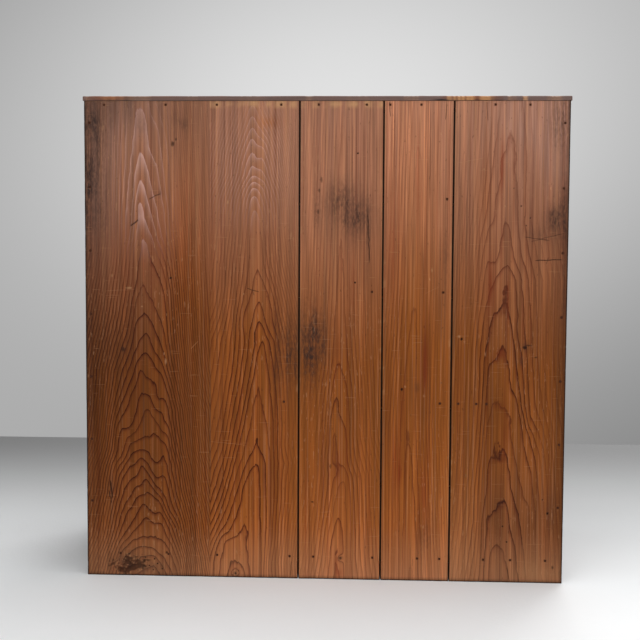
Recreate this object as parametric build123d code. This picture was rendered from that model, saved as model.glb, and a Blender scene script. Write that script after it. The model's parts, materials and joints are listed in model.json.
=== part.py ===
"""A Japanese tansu: a one-piece cedar chest, three shaku square, with long drawers over a row of small
drawers and a hinged door. +Z is up, the drawers open towards -Y, and the origin is on the floor under the
middle of the whole chest, pulls included. Left and right are those of someone facing the drawers.
"""

import os

from build123d import *

# Whole chest, in millimetres. A shaku is 303 mm.
body_width = 909.0  # across the outer faces of the two sides
body_height = 915.0  # floor to the upper face of the top board
body_depth = 424.0  # front edges of the sides to the rear edge of the top board

# Carcass boards
top_thickness = 24.0  # between the sides
top_lip = 8.5  # thickness left where the top laps the sides and the back boards
top_overhang = 1.5  # past each side and past the front edges
top_edge_round = 2.0  # on the top board's upper edges
side_thickness = 21.0
bottom_thickness = 18.0
bottom_rise = 34.0  # floor to the underside of the bottom board
shelf_thickness = 15.0
partition_thickness = 15.0
base_rail_thickness = 20.0
base_rail_setback = 4.0  # behind the front edges
row_height_shares = (0.2003, 0.2003, 0.2450)  # long drawers, from the top; the bottom row takes the rest
small_opening_share = 0.542  # of the clear width, left of the partition
door_stop_size = 12.0  # square section of the batten that the door closes on
arris = 0.8  # chamfer along the front edges of the carcass boards

# Carcass joints
housing_depth = 7.0  # how far a shelf's end is let into a side
housing_stop = 12.0  # the housing ends this far behind the front edge
partition_housing = 5.0  # how far the partition and the short shelf are let in
tenon_count = 3  # through tenons on the top of each side
tenon_width = 46.0
tenon_thickness = 9.0
tenon_margin = 36.0  # from either end of the side to the nearest tenon

# Back boards, numbered from the right-hand side of the chest
back_thickness = 9.0
back_reveal = 1.0  # the top board's rear edge stands this far proud of them
back_margin = 0.5  # they stop this far short of the sides' outer faces
back_board_shares = (0.2643, 0.1864, 0.1714, 0.1419)  # of their summed width; the fifth takes the rest
back_seams = (0.0, 2.5, 2.5, 2.5)  # the first seam is glued, the others have shrunk open
seam_arris = 0.6  # chamfer along the outer upright edges, but not at a glued seam

# Square iron nails that hold the back boards
nail_shank = 2.2  # under the head
nail_tip = 0.8
nail_head = 3.6
nail_head_thickness = 1.0
nail_recess = 0.3  # the head lies this far under the face of the board
nail_length = 27.0
edge_nail_first = 145.0  # height of the lowest nail in each side's rear edge
edge_nail_pitch = 120.0
# Nails along each horizontal member, as shares of each back board's width
top_nail_shares = ((0.16, 0.65), (0.08, 0.80), (0.22, 0.80), (0.08, 0.53), (0.35, 0.65))
shelf_nail_shares = (
    ((), (), (), (0.92,), ()),
    ((), (), (0.88,), (0.88,), ()),
    ((), (0.84,), (), (0.85,), (0.06, 0.22, 0.31)),
)
bottom_nail_shares = ((0.27, 0.66), (0.08, 0.91), (0.18, 0.91), (0.54, 0.87), (0.30, 0.54, 0.85))

# Drawers
front_thickness = 18.0
front_lap = 8.0  # thickness of the front left over the ends of the drawer's sides
front_chamfer = 1.0  # round the face of each drawer's front
drawer_side_thickness = 9.0
drawer_back_thickness = 9.0
drawer_bottom_thickness = 7.0
drawer_side_drop = 3.0  # the sides and back stop this far below the front's upper edge
drawer_finger_count = 3  # fingers in each rear corner, counting those of both boards
side_play = 1.0  # on each side of a drawer
top_play = 1.5  # over a drawer
running_gap = 0.3  # under a drawer, and behind it where it stops at the back boards

# Iron pulls: a bail swings in two eyes, whose shanks are clinched inside the front
pull_offset = 250.0  # centre of a long drawer to each of its two pulls
pull_rise = 10.0  # bail's pivot above the middle of the front
pull_standoff = 12.0  # bail's pivot out from the front's face
eye_spread = 76.0  # between the two eyes of a pull
eye_radius = 5.5
eye_width = 5.0
shank_radius = 2.4
shank_clearance = 0.1
clinch_length = 12.0
clinch_width = 3.0
clinch_thickness = 1.4
rosette_radius = 12.5
rosette_rim = 0.8
rosette_dome = 2.4
dome_middle_share = 0.72  # height of the dome half-way in, as a share of its rise above the rim
pin_radius = 2.2  # bail's ends, in the eyes
pin_clearance = 0.08
eye_side_play = 0.6  # between an eye and the shoulders of the bail
bail_drop = 40.0  # pivot to the middle of the grip
bail_flare = 4.0  # the bail's legs spread by this much on each side
bail_shoulder_radius = 6.0
shoulder_room_share = 1.25  # of the shoulder's radius, from the pin's inner end to the top of the leg
bail_corner_radius = 11.0
bar_sides = 8
bar_half_width = 2.5  # half of the bar's width across its flats
grip_length = 38.0
grip_half_width = 4.2  # the same at the middle of the grip
grip_collar = 0.5  # step at each end of the grip
rivet_radius = 3.8  # head on the outer end of each pin
rivet_height = 2.6
rivet_chamfer = 1.0

# Hinged door at the right of the bottom row
door_thickness = 18.0
door_play = 1.5  # all round the door
stile_width = 46.0
rail_width = 46.0
panel_thickness = 8.0
panel_recess = 4.0  # panel's face behind the frame's face
groove_depth = 6.0
panel_float = 0.5  # left free in the grooves for the panel to swell
door_tenon_length = 26.0
door_tenon_thickness = 6.0
door_tenon_shoulder = 8.0  # above and below each tenon
door_stop_gap = 0.3
door_chamfer = 1.0  # round the door's face, and round its panel

# Iron surface hinges of the door
hinge_height = 52.0
hinge_inset = 34.0  # end of the door to the near end of the hinge
hinge_leaf_thickness = 1.6
hinge_leaf_width = 36.0  # on the door
hinge_leaf_margin = 2.0  # fixed leaf's edge to the side's outer face
leaf_corner_radius = 3.0  # at the leaves' free corners
knuckle_radius = 3.6
knuckle_stand = 0.4  # knuckles clear of the door's face
knuckle_gap = 0.4
knuckle_count = 3
hinge_pin_radius = 2.0
hinge_pin_clearance = 0.06
hinge_pin_head = 1.5  # height of the head on each end of the pin
hinge_pin_chamfer = 0.8
leaf_nail_radius = 1.0
leaf_nail_length = 14.0  # in the wood
leaf_nail_head_radius = 2.6
leaf_nail_head_height = 1.2
leaf_nail_chamfer = 0.7
leaf_nail_margin = 10.0  # from either end of a leaf
door_nail_reach = 20.0  # hinge axis to the nails in the door
side_nail_reach = 12.0  # the same in the side

# Ring pull on the door
ring_radius = 15.0
ring_wire_radius = 2.4
ring_clearance = 0.6  # in its eye, which lets the curved wire turn

cut_overrun = 5.0  # cutting tools run this far past the faces that they open

# Places worked out from the sizes above
pull_reach = pull_standoff + eye_radius
front_y = (pull_reach - body_depth) / 2
rear_y = front_y + body_depth
back_face_y = rear_y - back_reveal
back_inner_y = back_face_y - back_thickness
side_outer_x = body_width / 2
side_inner_x = side_outer_x - side_thickness
top_under_z = body_height - top_thickness
lip_z = body_height - top_lip
bottom_face_z = bottom_rise + bottom_thickness
partition_left_x = (2 * small_opening_share - 1) * side_inner_x
partition_right_x = partition_left_x + partition_thickness
hinge_x = side_inner_x - door_play / 2
hinge_y = front_y - knuckle_radius - knuckle_stand


def shelf_bottoms():
    """Underside of each long shelf, from the top down."""
    clear_height = top_under_z - bottom_face_z - shelf_thickness * len(row_height_shares)
    heights = []
    ceiling = top_under_z
    for share in row_height_shares:
        ceiling -= clear_height * share + shelf_thickness
        heights.append(ceiling)
    return heights


shelf_z = shelf_bottoms()
bottom_row_ceiling_z = shelf_z[-1]
short_shelf_z = (bottom_face_z + bottom_row_ceiling_z - shelf_thickness) / 2


def slab(low, high):
    """A rectangular board between two opposite corners."""
    size = [b - a for a, b in zip(low, high)]
    return Pos(*low) * Box(*size, align=(Align.MIN, Align.MIN, Align.MIN))


def group(solids):
    """Separate solids in one node, not fused where they touch."""
    return Compound([solid for shape in solids for solid in shape.solids()])


def face_edges(board):
    """Edges of a board's front face."""
    return board.faces().sort_by(Axis.Y)[0].edges()


def eased(board, axis):
    """A board with small chamfers on those edges of its front face that run along an axis."""
    return chamfer(face_edges(board).filter_by(axis), arris)


def rod_x(radius, x_low, x_high, y, z):
    """A round bar along X."""
    middle = Pos((x_low + x_high) / 2, y, z)
    return middle * Rot(Y=90) * Cylinder(radius, x_high - x_low)


def rod_y(radius, x, y_low, y_high, z):
    """A round bar along Y."""
    middle = Pos(x, (y_low + y_high) / 2, z)
    return middle * Rot(X=90) * Cylinder(radius, y_high - y_low)


def rod_z(radius, x, y, z_low, z_high):
    """A round bar along Z."""
    return Pos(x, y, (z_low + z_high) / 2) * Cylinder(radius, z_high - z_low)


# Back boards and their nails


def back_board_edges():
    """Left and right edge of each back board, the first one at the chest's right-hand side."""
    edges = []
    right = side_outer_x - back_margin
    wood_width = 2 * right - sum(back_seams)
    for share, seam in zip(back_board_shares, back_seams):
        edges.append((right - wood_width * share, right))
        right -= wood_width * share + seam
    edges.append((back_margin - side_outer_x, right))
    return edges


def nail_places():
    """X and Z of every nail in the back."""
    rows = [((top_under_z + lip_z) / 2, top_nail_shares)]
    rows += [(z + shelf_thickness / 2, shares) for z, shares in zip(shelf_z, shelf_nail_shares)]
    rows.append((bottom_rise + bottom_thickness / 2, bottom_nail_shares))
    places = []
    for z, board_shares in rows:
        for (left, right), shares in zip(back_board_edges(), board_shares):
            places += [(right - share * (right - left), z) for share in shares]
    edge_x = side_outer_x - side_thickness / 2
    z = edge_nail_first
    while z < top_under_z - nail_head:
        places += [(edge_x, z), (-edge_x, z)]
        z += edge_nail_pitch
    return places


def nail(x, z, head_face_y):
    """A square nail driven forwards, with its head's face at the given Y."""
    head_under_y = head_face_y - nail_head_thickness
    half_head = nail_head / 2
    head = slab((x - half_head, head_under_y, z - half_head), (x + half_head, head_face_y, z + half_head))
    ends = ((head_under_y, nail_shank), (head_face_y - nail_length, nail_tip))
    sections = [Plane((x, y, z), z_dir=(0, -1, 0)) * Rectangle(width, width) for y, width in ends]
    return head + loft(sections, ruled=True)


def nail_hole(x, z):
    """The hole of a nail, open at the face of the back board."""
    half_head = nail_head / 2
    seat_y = back_face_y - nail_recess
    mouth_y = back_face_y + cut_overrun
    pocket = slab((x - half_head, seat_y, z - half_head), (x + half_head, mouth_y, z + half_head))
    return nail(x, z, seat_y) + pocket


def back_boards(parts, holes):
    open_seams = [seam > 0 for seam in back_seams]
    open_edges = zip([*open_seams, True], [True, *open_seams])
    for number, ((left, right), free) in enumerate(zip(back_board_edges(), open_edges), 1):
        board = slab((left, back_inner_y, 0), (right, back_face_y, lip_z))
        upright = board.faces().sort_by(Axis.Y)[-1].edges().filter_by(Axis.Z).sort_by(Axis.X)
        edges = [edge for edge, is_free in zip(upright, free) if is_free]
        if edges:
            board = chamfer(edges, seam_arris)
        parts[f"back_board_{number}"] = board - holes


# Carcass


def tenon_slots():
    """Front and rear Y of each tenon on the top of a side."""
    first = front_y + tenon_margin
    last = back_inner_y - tenon_margin - tenon_width
    step = (last - first) / (tenon_count - 1)
    return [(first + i * step, first + i * step + tenon_width) for i in range(tenon_count)]


def tenons(hand):
    """Through tenons of the right (1) or left (-1) side, up to the chest's top face."""
    middle_x = hand * (side_outer_x - side_thickness / 2)
    half = tenon_thickness / 2
    return [
        slab((middle_x - half, y_low, lip_z), (middle_x + half, y_high, body_height))
        for y_low, y_high in tenon_slots()
    ]


def side_slab(hand, inner, outer, y_low, y_high, z_low, z_high):
    """A slab between two distances from the middle of the chest, on its right (1) or left (-1)."""
    x_low, x_high = sorted((hand * inner, hand * outer))
    return slab((x_low, y_low, z_low), (x_high, y_high, z_high))


def shelf_end(hand, z_low, thickness):
    """The end of a shelf that is let into a side, and the housing that it fills."""
    housed_x = side_inner_x + housing_depth
    y_low = front_y + housing_stop
    return side_slab(hand, side_inner_x, housed_x, y_low, back_inner_y, z_low, z_low + thickness)


def long_shelf(z_low, thickness):
    """A board from side to side, with its ends in stopped housings."""
    board = slab((-side_inner_x, front_y, z_low), (side_inner_x, back_inner_y, z_low + thickness))
    board = eased(board, Axis.X)
    return board + shelf_end(1, z_low, thickness) + shelf_end(-1, z_low, thickness)


def chest_side(hand, holes):
    """The right (1) or left (-1) side, down to the floor."""
    side = side_slab(hand, side_inner_x, side_outer_x, front_y, back_inner_y, 0, lip_z)
    side = eased(side, Axis.Z)
    for tenon in tenons(hand):
        side += tenon
    for z_low in shelf_z:
        side -= shelf_end(hand, z_low, shelf_thickness)
    side -= shelf_end(hand, bottom_rise, bottom_thickness)
    return side - holes


def top_board(holes):
    """The top, rabbeted to lap the ends of both sides and the upper ends of the back boards."""
    reach_x = side_outer_x + top_overhang
    board = slab((-reach_x, front_y - top_overhang, lip_z), (reach_x, rear_y, body_height))
    board = fillet(board.faces().sort_by(Axis.Z)[-1].edges(), top_edge_round)
    board += slab((-side_inner_x, front_y - top_overhang, top_under_z), (side_inner_x, back_inner_y, lip_z))
    for hand in (1, -1):
        for tenon in tenons(hand):
            board -= tenon
    return board - holes


def partition():
    """The upright board between the small drawers and the door, let in above and below."""
    board = slab(
        (partition_left_x, front_y, bottom_face_z),
        (partition_right_x, back_inner_y, bottom_row_ceiling_z),
    )
    return eased(board, Axis.Z) + partition_tongue()


def partition_tongue():
    """Both ends of the partition that are let in, which are also their housings."""
    y_low = front_y + housing_stop
    below = slab(
        (partition_left_x, y_low, bottom_face_z - partition_housing),
        (partition_right_x, back_inner_y, bottom_face_z),
    )
    above = slab(
        (partition_left_x, y_low, bottom_row_ceiling_z),
        (partition_right_x, back_inner_y, bottom_row_ceiling_z + partition_housing),
    )
    return below + above


def short_shelf():
    """The shelf between the two small drawers."""
    board = slab(
        (-side_inner_x, front_y, short_shelf_z),
        (partition_left_x, back_inner_y, short_shelf_z + shelf_thickness),
    )
    return eased(board, Axis.X) + short_shelf_ends()


def short_shelf_ends():
    """Ends of the short shelf in the left side and in the partition."""
    right_end = slab(
        (partition_left_x, front_y + housing_stop, short_shelf_z),
        (partition_left_x + partition_housing, back_inner_y, short_shelf_z + shelf_thickness),
    )
    return shelf_end(-1, short_shelf_z, shelf_thickness) + right_end


def base_rail():
    rail_y = front_y + base_rail_setback
    rail = slab((-side_inner_x, rail_y, 0), (side_inner_x, rail_y + base_rail_thickness, bottom_rise))
    return eased(rail, Axis.X)


def door_stop():
    """The batten on the partition that the door closes against."""
    stop_y = front_y + door_thickness + door_stop_gap
    return slab(
        (partition_right_x, stop_y, bottom_face_z),
        (partition_right_x + door_stop_size, stop_y + door_stop_size, bottom_row_ceiling_z),
    )


def carcass(parts):
    holes = Part() + [nail_hole(x, z) for x, z in nail_places()]
    parts["right_side"] = chest_side(1, holes) - leaf_nails(side_nail_reach)
    parts["left_side"] = chest_side(-1, holes) - short_shelf_ends()
    parts["top_board"] = top_board(holes)
    parts["bottom_board"] = long_shelf(bottom_rise, bottom_thickness) - partition_tongue() - holes
    for number, z_low in enumerate(shelf_z, 1):
        parts[f"shelf_{number}"] = long_shelf(z_low, shelf_thickness) - partition_tongue() - holes
    parts["partition"] = partition() - short_shelf_ends()
    parts["short_shelf"] = short_shelf()
    parts["base_rail"] = base_rail()
    parts["door_stop"] = door_stop()
    back_boards(parts, holes)
    parts["back_nails"] = group(nail(x, z, back_face_y - nail_recess) for x, z in nail_places())


# Iron pulls


def eye(x, z, inner_y, bore_radius):
    """An eye with its shank through the wood, and its two legs clinched on the inner face."""
    pivot_y = front_y - pull_standoff
    post = rod_x(eye_radius, x - eye_width / 2, x + eye_width / 2, pivot_y, z)
    post += rod_y(shank_radius, x, pivot_y, inner_y + clinch_thickness, z)
    post += slab(
        (x - clinch_width / 2, inner_y, z - clinch_length),
        (x + clinch_width / 2, inner_y + clinch_thickness, z + clinch_length),
    )
    return post - rod_x(bore_radius, x - eye_width, x + eye_width, pivot_y, z)


def shank_hole(x, z, inner_y):
    """The hole for an eye's shank through a front."""
    radius = shank_radius + shank_clearance
    return rod_y(radius, x, front_y - cut_overrun, inner_y + cut_overrun, z)


def rosette(x, z):
    """The domed washer between an eye and the wood."""
    hole_radius = shank_radius + shank_clearance
    middle_radius = (rosette_radius + hole_radius) / 2
    middle_height = rosette_rim + (rosette_dome - rosette_rim) * dome_middle_share
    outline = Polyline((hole_radius, 0), (rosette_radius, 0), (rosette_radius, rosette_rim))
    dome = ThreePointArc(
        (rosette_radius, rosette_rim),
        (middle_radius, middle_height),
        (hole_radius, rosette_dome),
    )
    bore = Line((hole_radius, rosette_dome), (hole_radius, 0))
    profile = Plane.XZ * make_face([*outline.edges(), *dome.edges(), *bore.edges()])
    return Pos(x, front_y, z) * Rot(X=90) * revolve(profile, Axis.Z)


def bar_section(half_width):
    """The forged bar's section, with flats at the front and back."""
    return RegularPolygon(half_width, bar_sides, major_radius=False, rotation=180 / bar_sides)


def bail(x, z):
    """The swinging grip: a forged bar with a swollen middle, and a pin and rivet head at each end."""
    pin_inner = (eye_spread - eye_width) / 2 - eye_side_play
    pin_outer = (eye_spread + eye_width) / 2 + eye_side_play
    leg_top = pin_inner - bail_shoulder_radius * shoulder_room_share
    leg_foot = leg_top + bail_flare
    path = FilletPolyline(
        (-pin_inner, 0, 0),
        (-leg_top, 0, 0),
        (-leg_foot, 0, -bail_drop),
        (leg_foot, 0, -bail_drop),
        (leg_top, 0, 0),
        (pin_inner, 0, 0),
        radius=(bail_shoulder_radius, bail_corner_radius, bail_corner_radius, bail_shoulder_radius),
    )
    bar = sweep(Plane(path @ 0, x_dir=(0, 1, 0), z_dir=path % 0) * bar_section(bar_half_width), path)
    collar = bar_half_width + grip_collar
    grip_ends = ((-grip_length / 2, collar), (0, grip_half_width), (grip_length / 2, collar))
    bar += loft(
        [
            Plane((grip_x, 0, -bail_drop), x_dir=(0, 1, 0), z_dir=(1, 0, 0)) * bar_section(half_width)
            for grip_x, half_width in grip_ends
        ],
        ruled=True,
    )
    for turn in (0, 180):
        pin = rod_x(pin_radius, pin_inner, pin_outer, 0, 0)
        head = rod_x(rivet_radius, pin_outer, pin_outer + rivet_height, 0, 0)
        head = chamfer(head.faces().sort_by(Axis.X)[-1].edges(), rivet_chamfer)
        bar += Rot(Z=turn) * (pin + head)
    return Pos(x, front_y - pull_standoff, z) * bar


# Drawers


def drawer_fingers(x_low, x_high, y_high, z_low, z_high):
    """Fingers of the drawer's back, which pass through both of its sides."""
    step = (z_high - z_low) / drawer_finger_count
    y_low = y_high - drawer_back_thickness
    return [
        slab((x_low, y_low, z_low + i * step), (x_high, y_high, z_low + (i + 1) * step))
        for i in range(1, drawer_finger_count, 2)
    ]


def drawer(parts, name, opening_low, opening_high, pull_places):
    """One drawer in an opening given by two (x, z) corners, with a pull at each given x."""
    x_low, x_high = opening_low[0] + side_play, opening_high[0] - side_play
    z_low, z_high = opening_low[1] + running_gap, opening_high[1] - top_play
    lap_y = front_y + front_lap
    inner_y = front_y + front_thickness
    end_y = back_inner_y - running_gap
    floor_z = z_low + drawer_bottom_thickness
    rim_z = z_high - drawer_side_drop
    left_x, right_x = x_low + drawer_side_thickness, x_high - drawer_side_thickness
    pull_z = (z_low + z_high) / 2 + pull_rise

    front = slab((x_low, front_y, z_low), (x_high, inner_y, z_high))
    front = chamfer(front.faces().sort_by(Axis.Y)[0].edges(), front_chamfer)
    front -= slab((x_low, lap_y, z_low), (x_high, inner_y, floor_z))
    left = slab((x_low, lap_y, floor_z), (left_x, end_y, rim_z))
    right = slab((right_x, lap_y, floor_z), (x_high, end_y, rim_z))
    front = front - left - right
    back = slab((left_x, end_y - drawer_back_thickness, floor_z), (right_x, end_y, rim_z))
    for finger in drawer_fingers(x_low, x_high, end_y, floor_z, rim_z):
        left -= finger
        right -= finger
        back += finger

    fittings = []
    for number, pull_x in enumerate(pull_places, 1):
        for eye_x in (pull_x - eye_spread / 2, pull_x + eye_spread / 2):
            front -= shank_hole(eye_x, pull_z, inner_y)
            fittings.append(eye(eye_x, pull_z, inner_y, pin_radius + pin_clearance))
            fittings.append(rosette(eye_x, pull_z))
        parts[f"{name}_bail_{number}"] = bail(pull_x, pull_z)

    parts[f"{name}_front"] = front
    parts[f"{name}_sides"] = group((left, right))
    parts[f"{name}_back"] = back
    parts[f"{name}_bottom"] = slab((x_low, lap_y, z_low), (x_high, end_y, floor_z))
    parts[f"{name}_pull_eyes"] = group(fittings)


def drawers(parts):
    ceiling = top_under_z
    for number, z_low in enumerate(shelf_z, 1):
        opening = (-side_inner_x, z_low + shelf_thickness), (side_inner_x, ceiling)
        drawer(parts, f"drawer_{number}", *opening, (-pull_offset, pull_offset))
        ceiling = z_low
    middle_x = (partition_left_x - side_inner_x) / 2
    upper = (-side_inner_x, short_shelf_z + shelf_thickness), (partition_left_x, bottom_row_ceiling_z)
    lower = (-side_inner_x, bottom_face_z), (partition_left_x, short_shelf_z)
    drawer(parts, "small_drawer_upper", *upper, (middle_x,))
    drawer(parts, "small_drawer_lower", *lower, (middle_x,))


# Door


def door_frame(parts):
    """Stiles and rails joined by stub tenons round a loose panel."""
    x_low, x_high = partition_right_x + door_play, side_inner_x - door_play
    z_low, z_high = bottom_face_z + door_play, bottom_row_ceiling_z - door_play
    inner_y = front_y + door_thickness
    tenon_y = front_y + (door_thickness - door_tenon_thickness) / 2
    left_x, right_x = x_low + stile_width, x_high - stile_width
    sill_z, head_z = z_low + rail_width, z_high - rail_width
    panel_y = front_y + panel_recess

    left_stile = slab((x_low, front_y, z_low), (left_x, inner_y, z_high))
    right_stile = slab((right_x, front_y, z_low), (x_high, inner_y, z_high))
    left_stile = chamfer(face_edges(left_stile).sort_by(Axis.X)[:-1], door_chamfer)
    right_stile = chamfer(face_edges(right_stile).sort_by(Axis.X)[1:], door_chamfer)
    rails = []
    for rail_low, end in ((z_low, 0), (head_z, -1)):
        rail = slab((left_x, front_y, rail_low), (right_x, inner_y, rail_low + rail_width))
        rail = chamfer(face_edges(rail).sort_by(Axis.Z)[end], door_chamfer)
        rail += slab(
            (left_x - door_tenon_length, tenon_y, rail_low + door_tenon_shoulder),
            (
                right_x + door_tenon_length,
                tenon_y + door_tenon_thickness,
                rail_low + rail_width - door_tenon_shoulder,
            ),
        )
        rails.append(rail)
    groove = slab(
        (left_x - groove_depth, panel_y, sill_z - groove_depth),
        (right_x + groove_depth, panel_y + panel_thickness, head_z + groove_depth),
    )
    groove += panel_bevel(left_x, right_x, sill_z, head_z)
    stiles = [stile - groove - rails[0] - rails[1] for stile in (left_stile, right_stile)]
    eye_x = x_low + stile_width / 2
    eye_z = (z_low + z_high) / 2
    stiles[0] -= shank_hole(eye_x, eye_z, inner_y)
    stiles[1] -= leaf_nails(-door_nail_reach)
    bore_radius = ring_wire_radius + ring_clearance
    tongue = groove_depth - panel_float

    parts["door_stiles"] = group(stiles)
    parts["door_rails"] = group(rail - groove for rail in rails)
    parts["door_panel"] = slab(
        (left_x - tongue, panel_y, sill_z - tongue),
        (right_x + tongue, panel_y + panel_thickness, head_z + tongue),
    )
    parts["door_ring_eye"] = group((eye(eye_x, eye_z, inner_y, bore_radius), rosette(eye_x, eye_z)))
    parts["door_ring"] = door_ring(eye_x, eye_z)


def panel_bevel(x_low, x_high, z_low, z_high):
    """A tool that chamfers the frame round the panel, mitred at the corners."""
    middle_x, middle_z = (x_low + x_high) / 2, (z_low + z_high) / 2
    sections = []
    for y, spread in ((front_y - cut_overrun, door_chamfer + cut_overrun), (front_y + door_chamfer, 0)):
        plane = Plane((middle_x, y, middle_z), x_dir=(1, 0, 0), z_dir=(0, -1, 0))
        sections.append(plane * Rectangle(x_high - x_low + 2 * spread, z_high - z_low + 2 * spread))
    return loft(sections, ruled=True)


def door_ring(x, z):
    """A plain iron ring that hangs in its eye."""
    ring = Rot(X=90) * Torus(ring_radius, ring_wire_radius)
    return Pos(x, front_y - pull_standoff, z - ring_radius) * ring


def hinge(z_low):
    """Fixed leaf, door leaf and pin of one surface hinge, from its lower end."""
    z_high = z_low + hinge_height
    step = hinge_height / knuckle_count
    leaf_y = front_y - hinge_leaf_thickness
    clear = knuckle_radius + knuckle_gap
    fixed_edge_x = side_outer_x - hinge_leaf_margin
    fixed = slab((hinge_x, leaf_y, z_low), (fixed_edge_x, front_y, z_high))
    moving = slab((hinge_x - hinge_leaf_width, leaf_y, z_low), (hinge_x, front_y, z_high))
    fixed = fillet(fixed.edges().filter_by(Axis.Y).sort_by(Axis.X)[-2:], leaf_corner_radius)
    moving = fillet(moving.edges().filter_by(Axis.Y).sort_by(Axis.X)[:2], leaf_corner_radius)
    for i in range(knuckle_count):
        low, high = z_low + i * step, z_low + (i + 1) * step
        window_low = low if i == 0 else low - knuckle_gap / 2
        window_high = high if i == knuckle_count - 1 else high + knuckle_gap / 2
        window = slab((hinge_x - clear, leaf_y, window_low), (hinge_x + clear, front_y, window_high))
        knuckle_low = low if i == 0 else low + knuckle_gap / 2
        knuckle_high = high if i == knuckle_count - 1 else high - knuckle_gap / 2
        knuckle = rod_z(knuckle_radius, hinge_x, hinge_y, knuckle_low, knuckle_high)
        if i % 2:
            fixed -= window
            moving += knuckle
        else:
            moving -= window
            fixed += knuckle
    bore = rod_z(
        hinge_pin_radius + hinge_pin_clearance, hinge_x, hinge_y, z_low - cut_overrun, z_high + cut_overrun
    )
    return fixed - bore, moving - bore, hinge_pin(z_low, z_high)


def hinge_pin(z_low, z_high):
    """A pin with a chamfered head at each end."""
    pin = rod_z(hinge_pin_radius, hinge_x, hinge_y, z_low, z_high)
    upper = rod_z(knuckle_radius, hinge_x, hinge_y, z_high, z_high + hinge_pin_head)
    lower = rod_z(knuckle_radius, hinge_x, hinge_y, z_low - hinge_pin_head, z_low)
    pin += chamfer(upper.faces().sort_by(Axis.Z)[-1].edges(), hinge_pin_chamfer)
    pin += chamfer(lower.faces().sort_by(Axis.Z)[0].edges(), hinge_pin_chamfer)
    return pin


def hinge_places():
    """Lower end of each of the door's two hinges."""
    low_z = bottom_face_z + door_play + hinge_inset
    high_z = bottom_row_ceiling_z - door_play - hinge_inset - hinge_height
    return low_z, high_z


def leaf_nail(x, z):
    """A round-headed nail through a hinge leaf and into the wood."""
    leaf_y = front_y - hinge_leaf_thickness
    head = rod_y(leaf_nail_head_radius, x, leaf_y - leaf_nail_head_height, leaf_y, z)
    head = chamfer(head.faces().sort_by(Axis.Y)[0].edges(), leaf_nail_chamfer)
    return head + rod_y(leaf_nail_radius, x, leaf_y, front_y + leaf_nail_length, z)


def leaf_nails(reach):
    """Nails in the leaves of both hinges on one side of their axis, the side's if the reach is positive."""
    heights = []
    for z_low in hinge_places():
        heights += [z_low + leaf_nail_margin, z_low + hinge_height - leaf_nail_margin]
    return [leaf_nail(hinge_x + reach, z) for z in heights]


def door(parts):
    door_frame(parts)
    hinges = [hinge(z_low) for z_low in hinge_places()]
    side_nails = leaf_nails(side_nail_reach)
    door_nails = leaf_nails(-door_nail_reach)
    parts["door_hinge_fixed_leaves"] = group([leaf - side_nails for leaf, _, _ in hinges] + side_nails)
    parts["door_hinge_leaves"] = group([leaf - door_nails for _, leaf, _ in hinges] + door_nails)
    parts["door_hinge_pins"] = group(pin for _, _, pin in hinges)


def build():
    """Every node of the chest, by name."""
    parts = {}
    carcass(parts)
    drawers(parts)
    door(parts)
    return parts


def main():
    os.makedirs("parts", exist_ok=True)
    for name, shape in build().items():
        export_step(shape, f"parts/{name}.step")


if __name__ == "__main__":
    main()
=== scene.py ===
"""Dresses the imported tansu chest: worn back boards, a chipped top board, and procedural wood and iron.
Boards are laid out in millimetres, in the row frame; what Blender gets is in metres.
"""

import json
import math
from functools import partialmethod

import bmesh
import bpy
import numpy as np
from mathutils import Euler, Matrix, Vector
from mathutils.geometry import delaunay_2d_cdt


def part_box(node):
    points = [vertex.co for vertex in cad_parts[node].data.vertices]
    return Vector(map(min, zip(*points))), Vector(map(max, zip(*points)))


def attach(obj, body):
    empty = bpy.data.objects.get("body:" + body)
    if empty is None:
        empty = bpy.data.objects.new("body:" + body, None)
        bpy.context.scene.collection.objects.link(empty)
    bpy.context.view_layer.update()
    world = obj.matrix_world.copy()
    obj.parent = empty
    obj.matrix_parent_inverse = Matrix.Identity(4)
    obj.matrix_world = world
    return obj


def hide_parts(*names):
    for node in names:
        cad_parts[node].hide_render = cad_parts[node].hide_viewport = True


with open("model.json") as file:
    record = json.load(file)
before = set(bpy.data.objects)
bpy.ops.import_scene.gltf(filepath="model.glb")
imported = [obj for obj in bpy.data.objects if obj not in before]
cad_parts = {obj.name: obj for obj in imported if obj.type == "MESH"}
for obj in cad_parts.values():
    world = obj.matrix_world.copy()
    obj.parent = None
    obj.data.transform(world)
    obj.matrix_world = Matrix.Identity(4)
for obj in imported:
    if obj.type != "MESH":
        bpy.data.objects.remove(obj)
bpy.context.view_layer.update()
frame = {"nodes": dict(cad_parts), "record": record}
nodes = frame["nodes"]
MM = 0.001


def colour(red, green, blue):
    """A linear colour from the usual 0 to 255 values."""
    linear = []
    for level in (red, green, blue):
        level /= 255
        linear.append(level / 12.92 if level < 0.04045 else ((level + 0.055) / 1.055) ** 2.4)
    return (*linear, 1.0)


# Shaders


def plug(tree, socket, item):
    """Gives a socket a value, or links what varies over the surface."""
    if isinstance(item, Value):
        tree.links.new(item.socket, socket)
    else:
        socket.default_value = item


def node_value(tree, kind, inputs, output=0, **settings):
    """One output of a new shader node with the given inputs and settings."""
    node = tree.nodes.new("ShaderNode" + kind)
    for name, setting in settings.items():
        setattr(node, name, setting)
    for key, item in inputs.items():
        plug(tree, node.inputs[key], item)
    return Value(tree, node.outputs[output])


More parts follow.
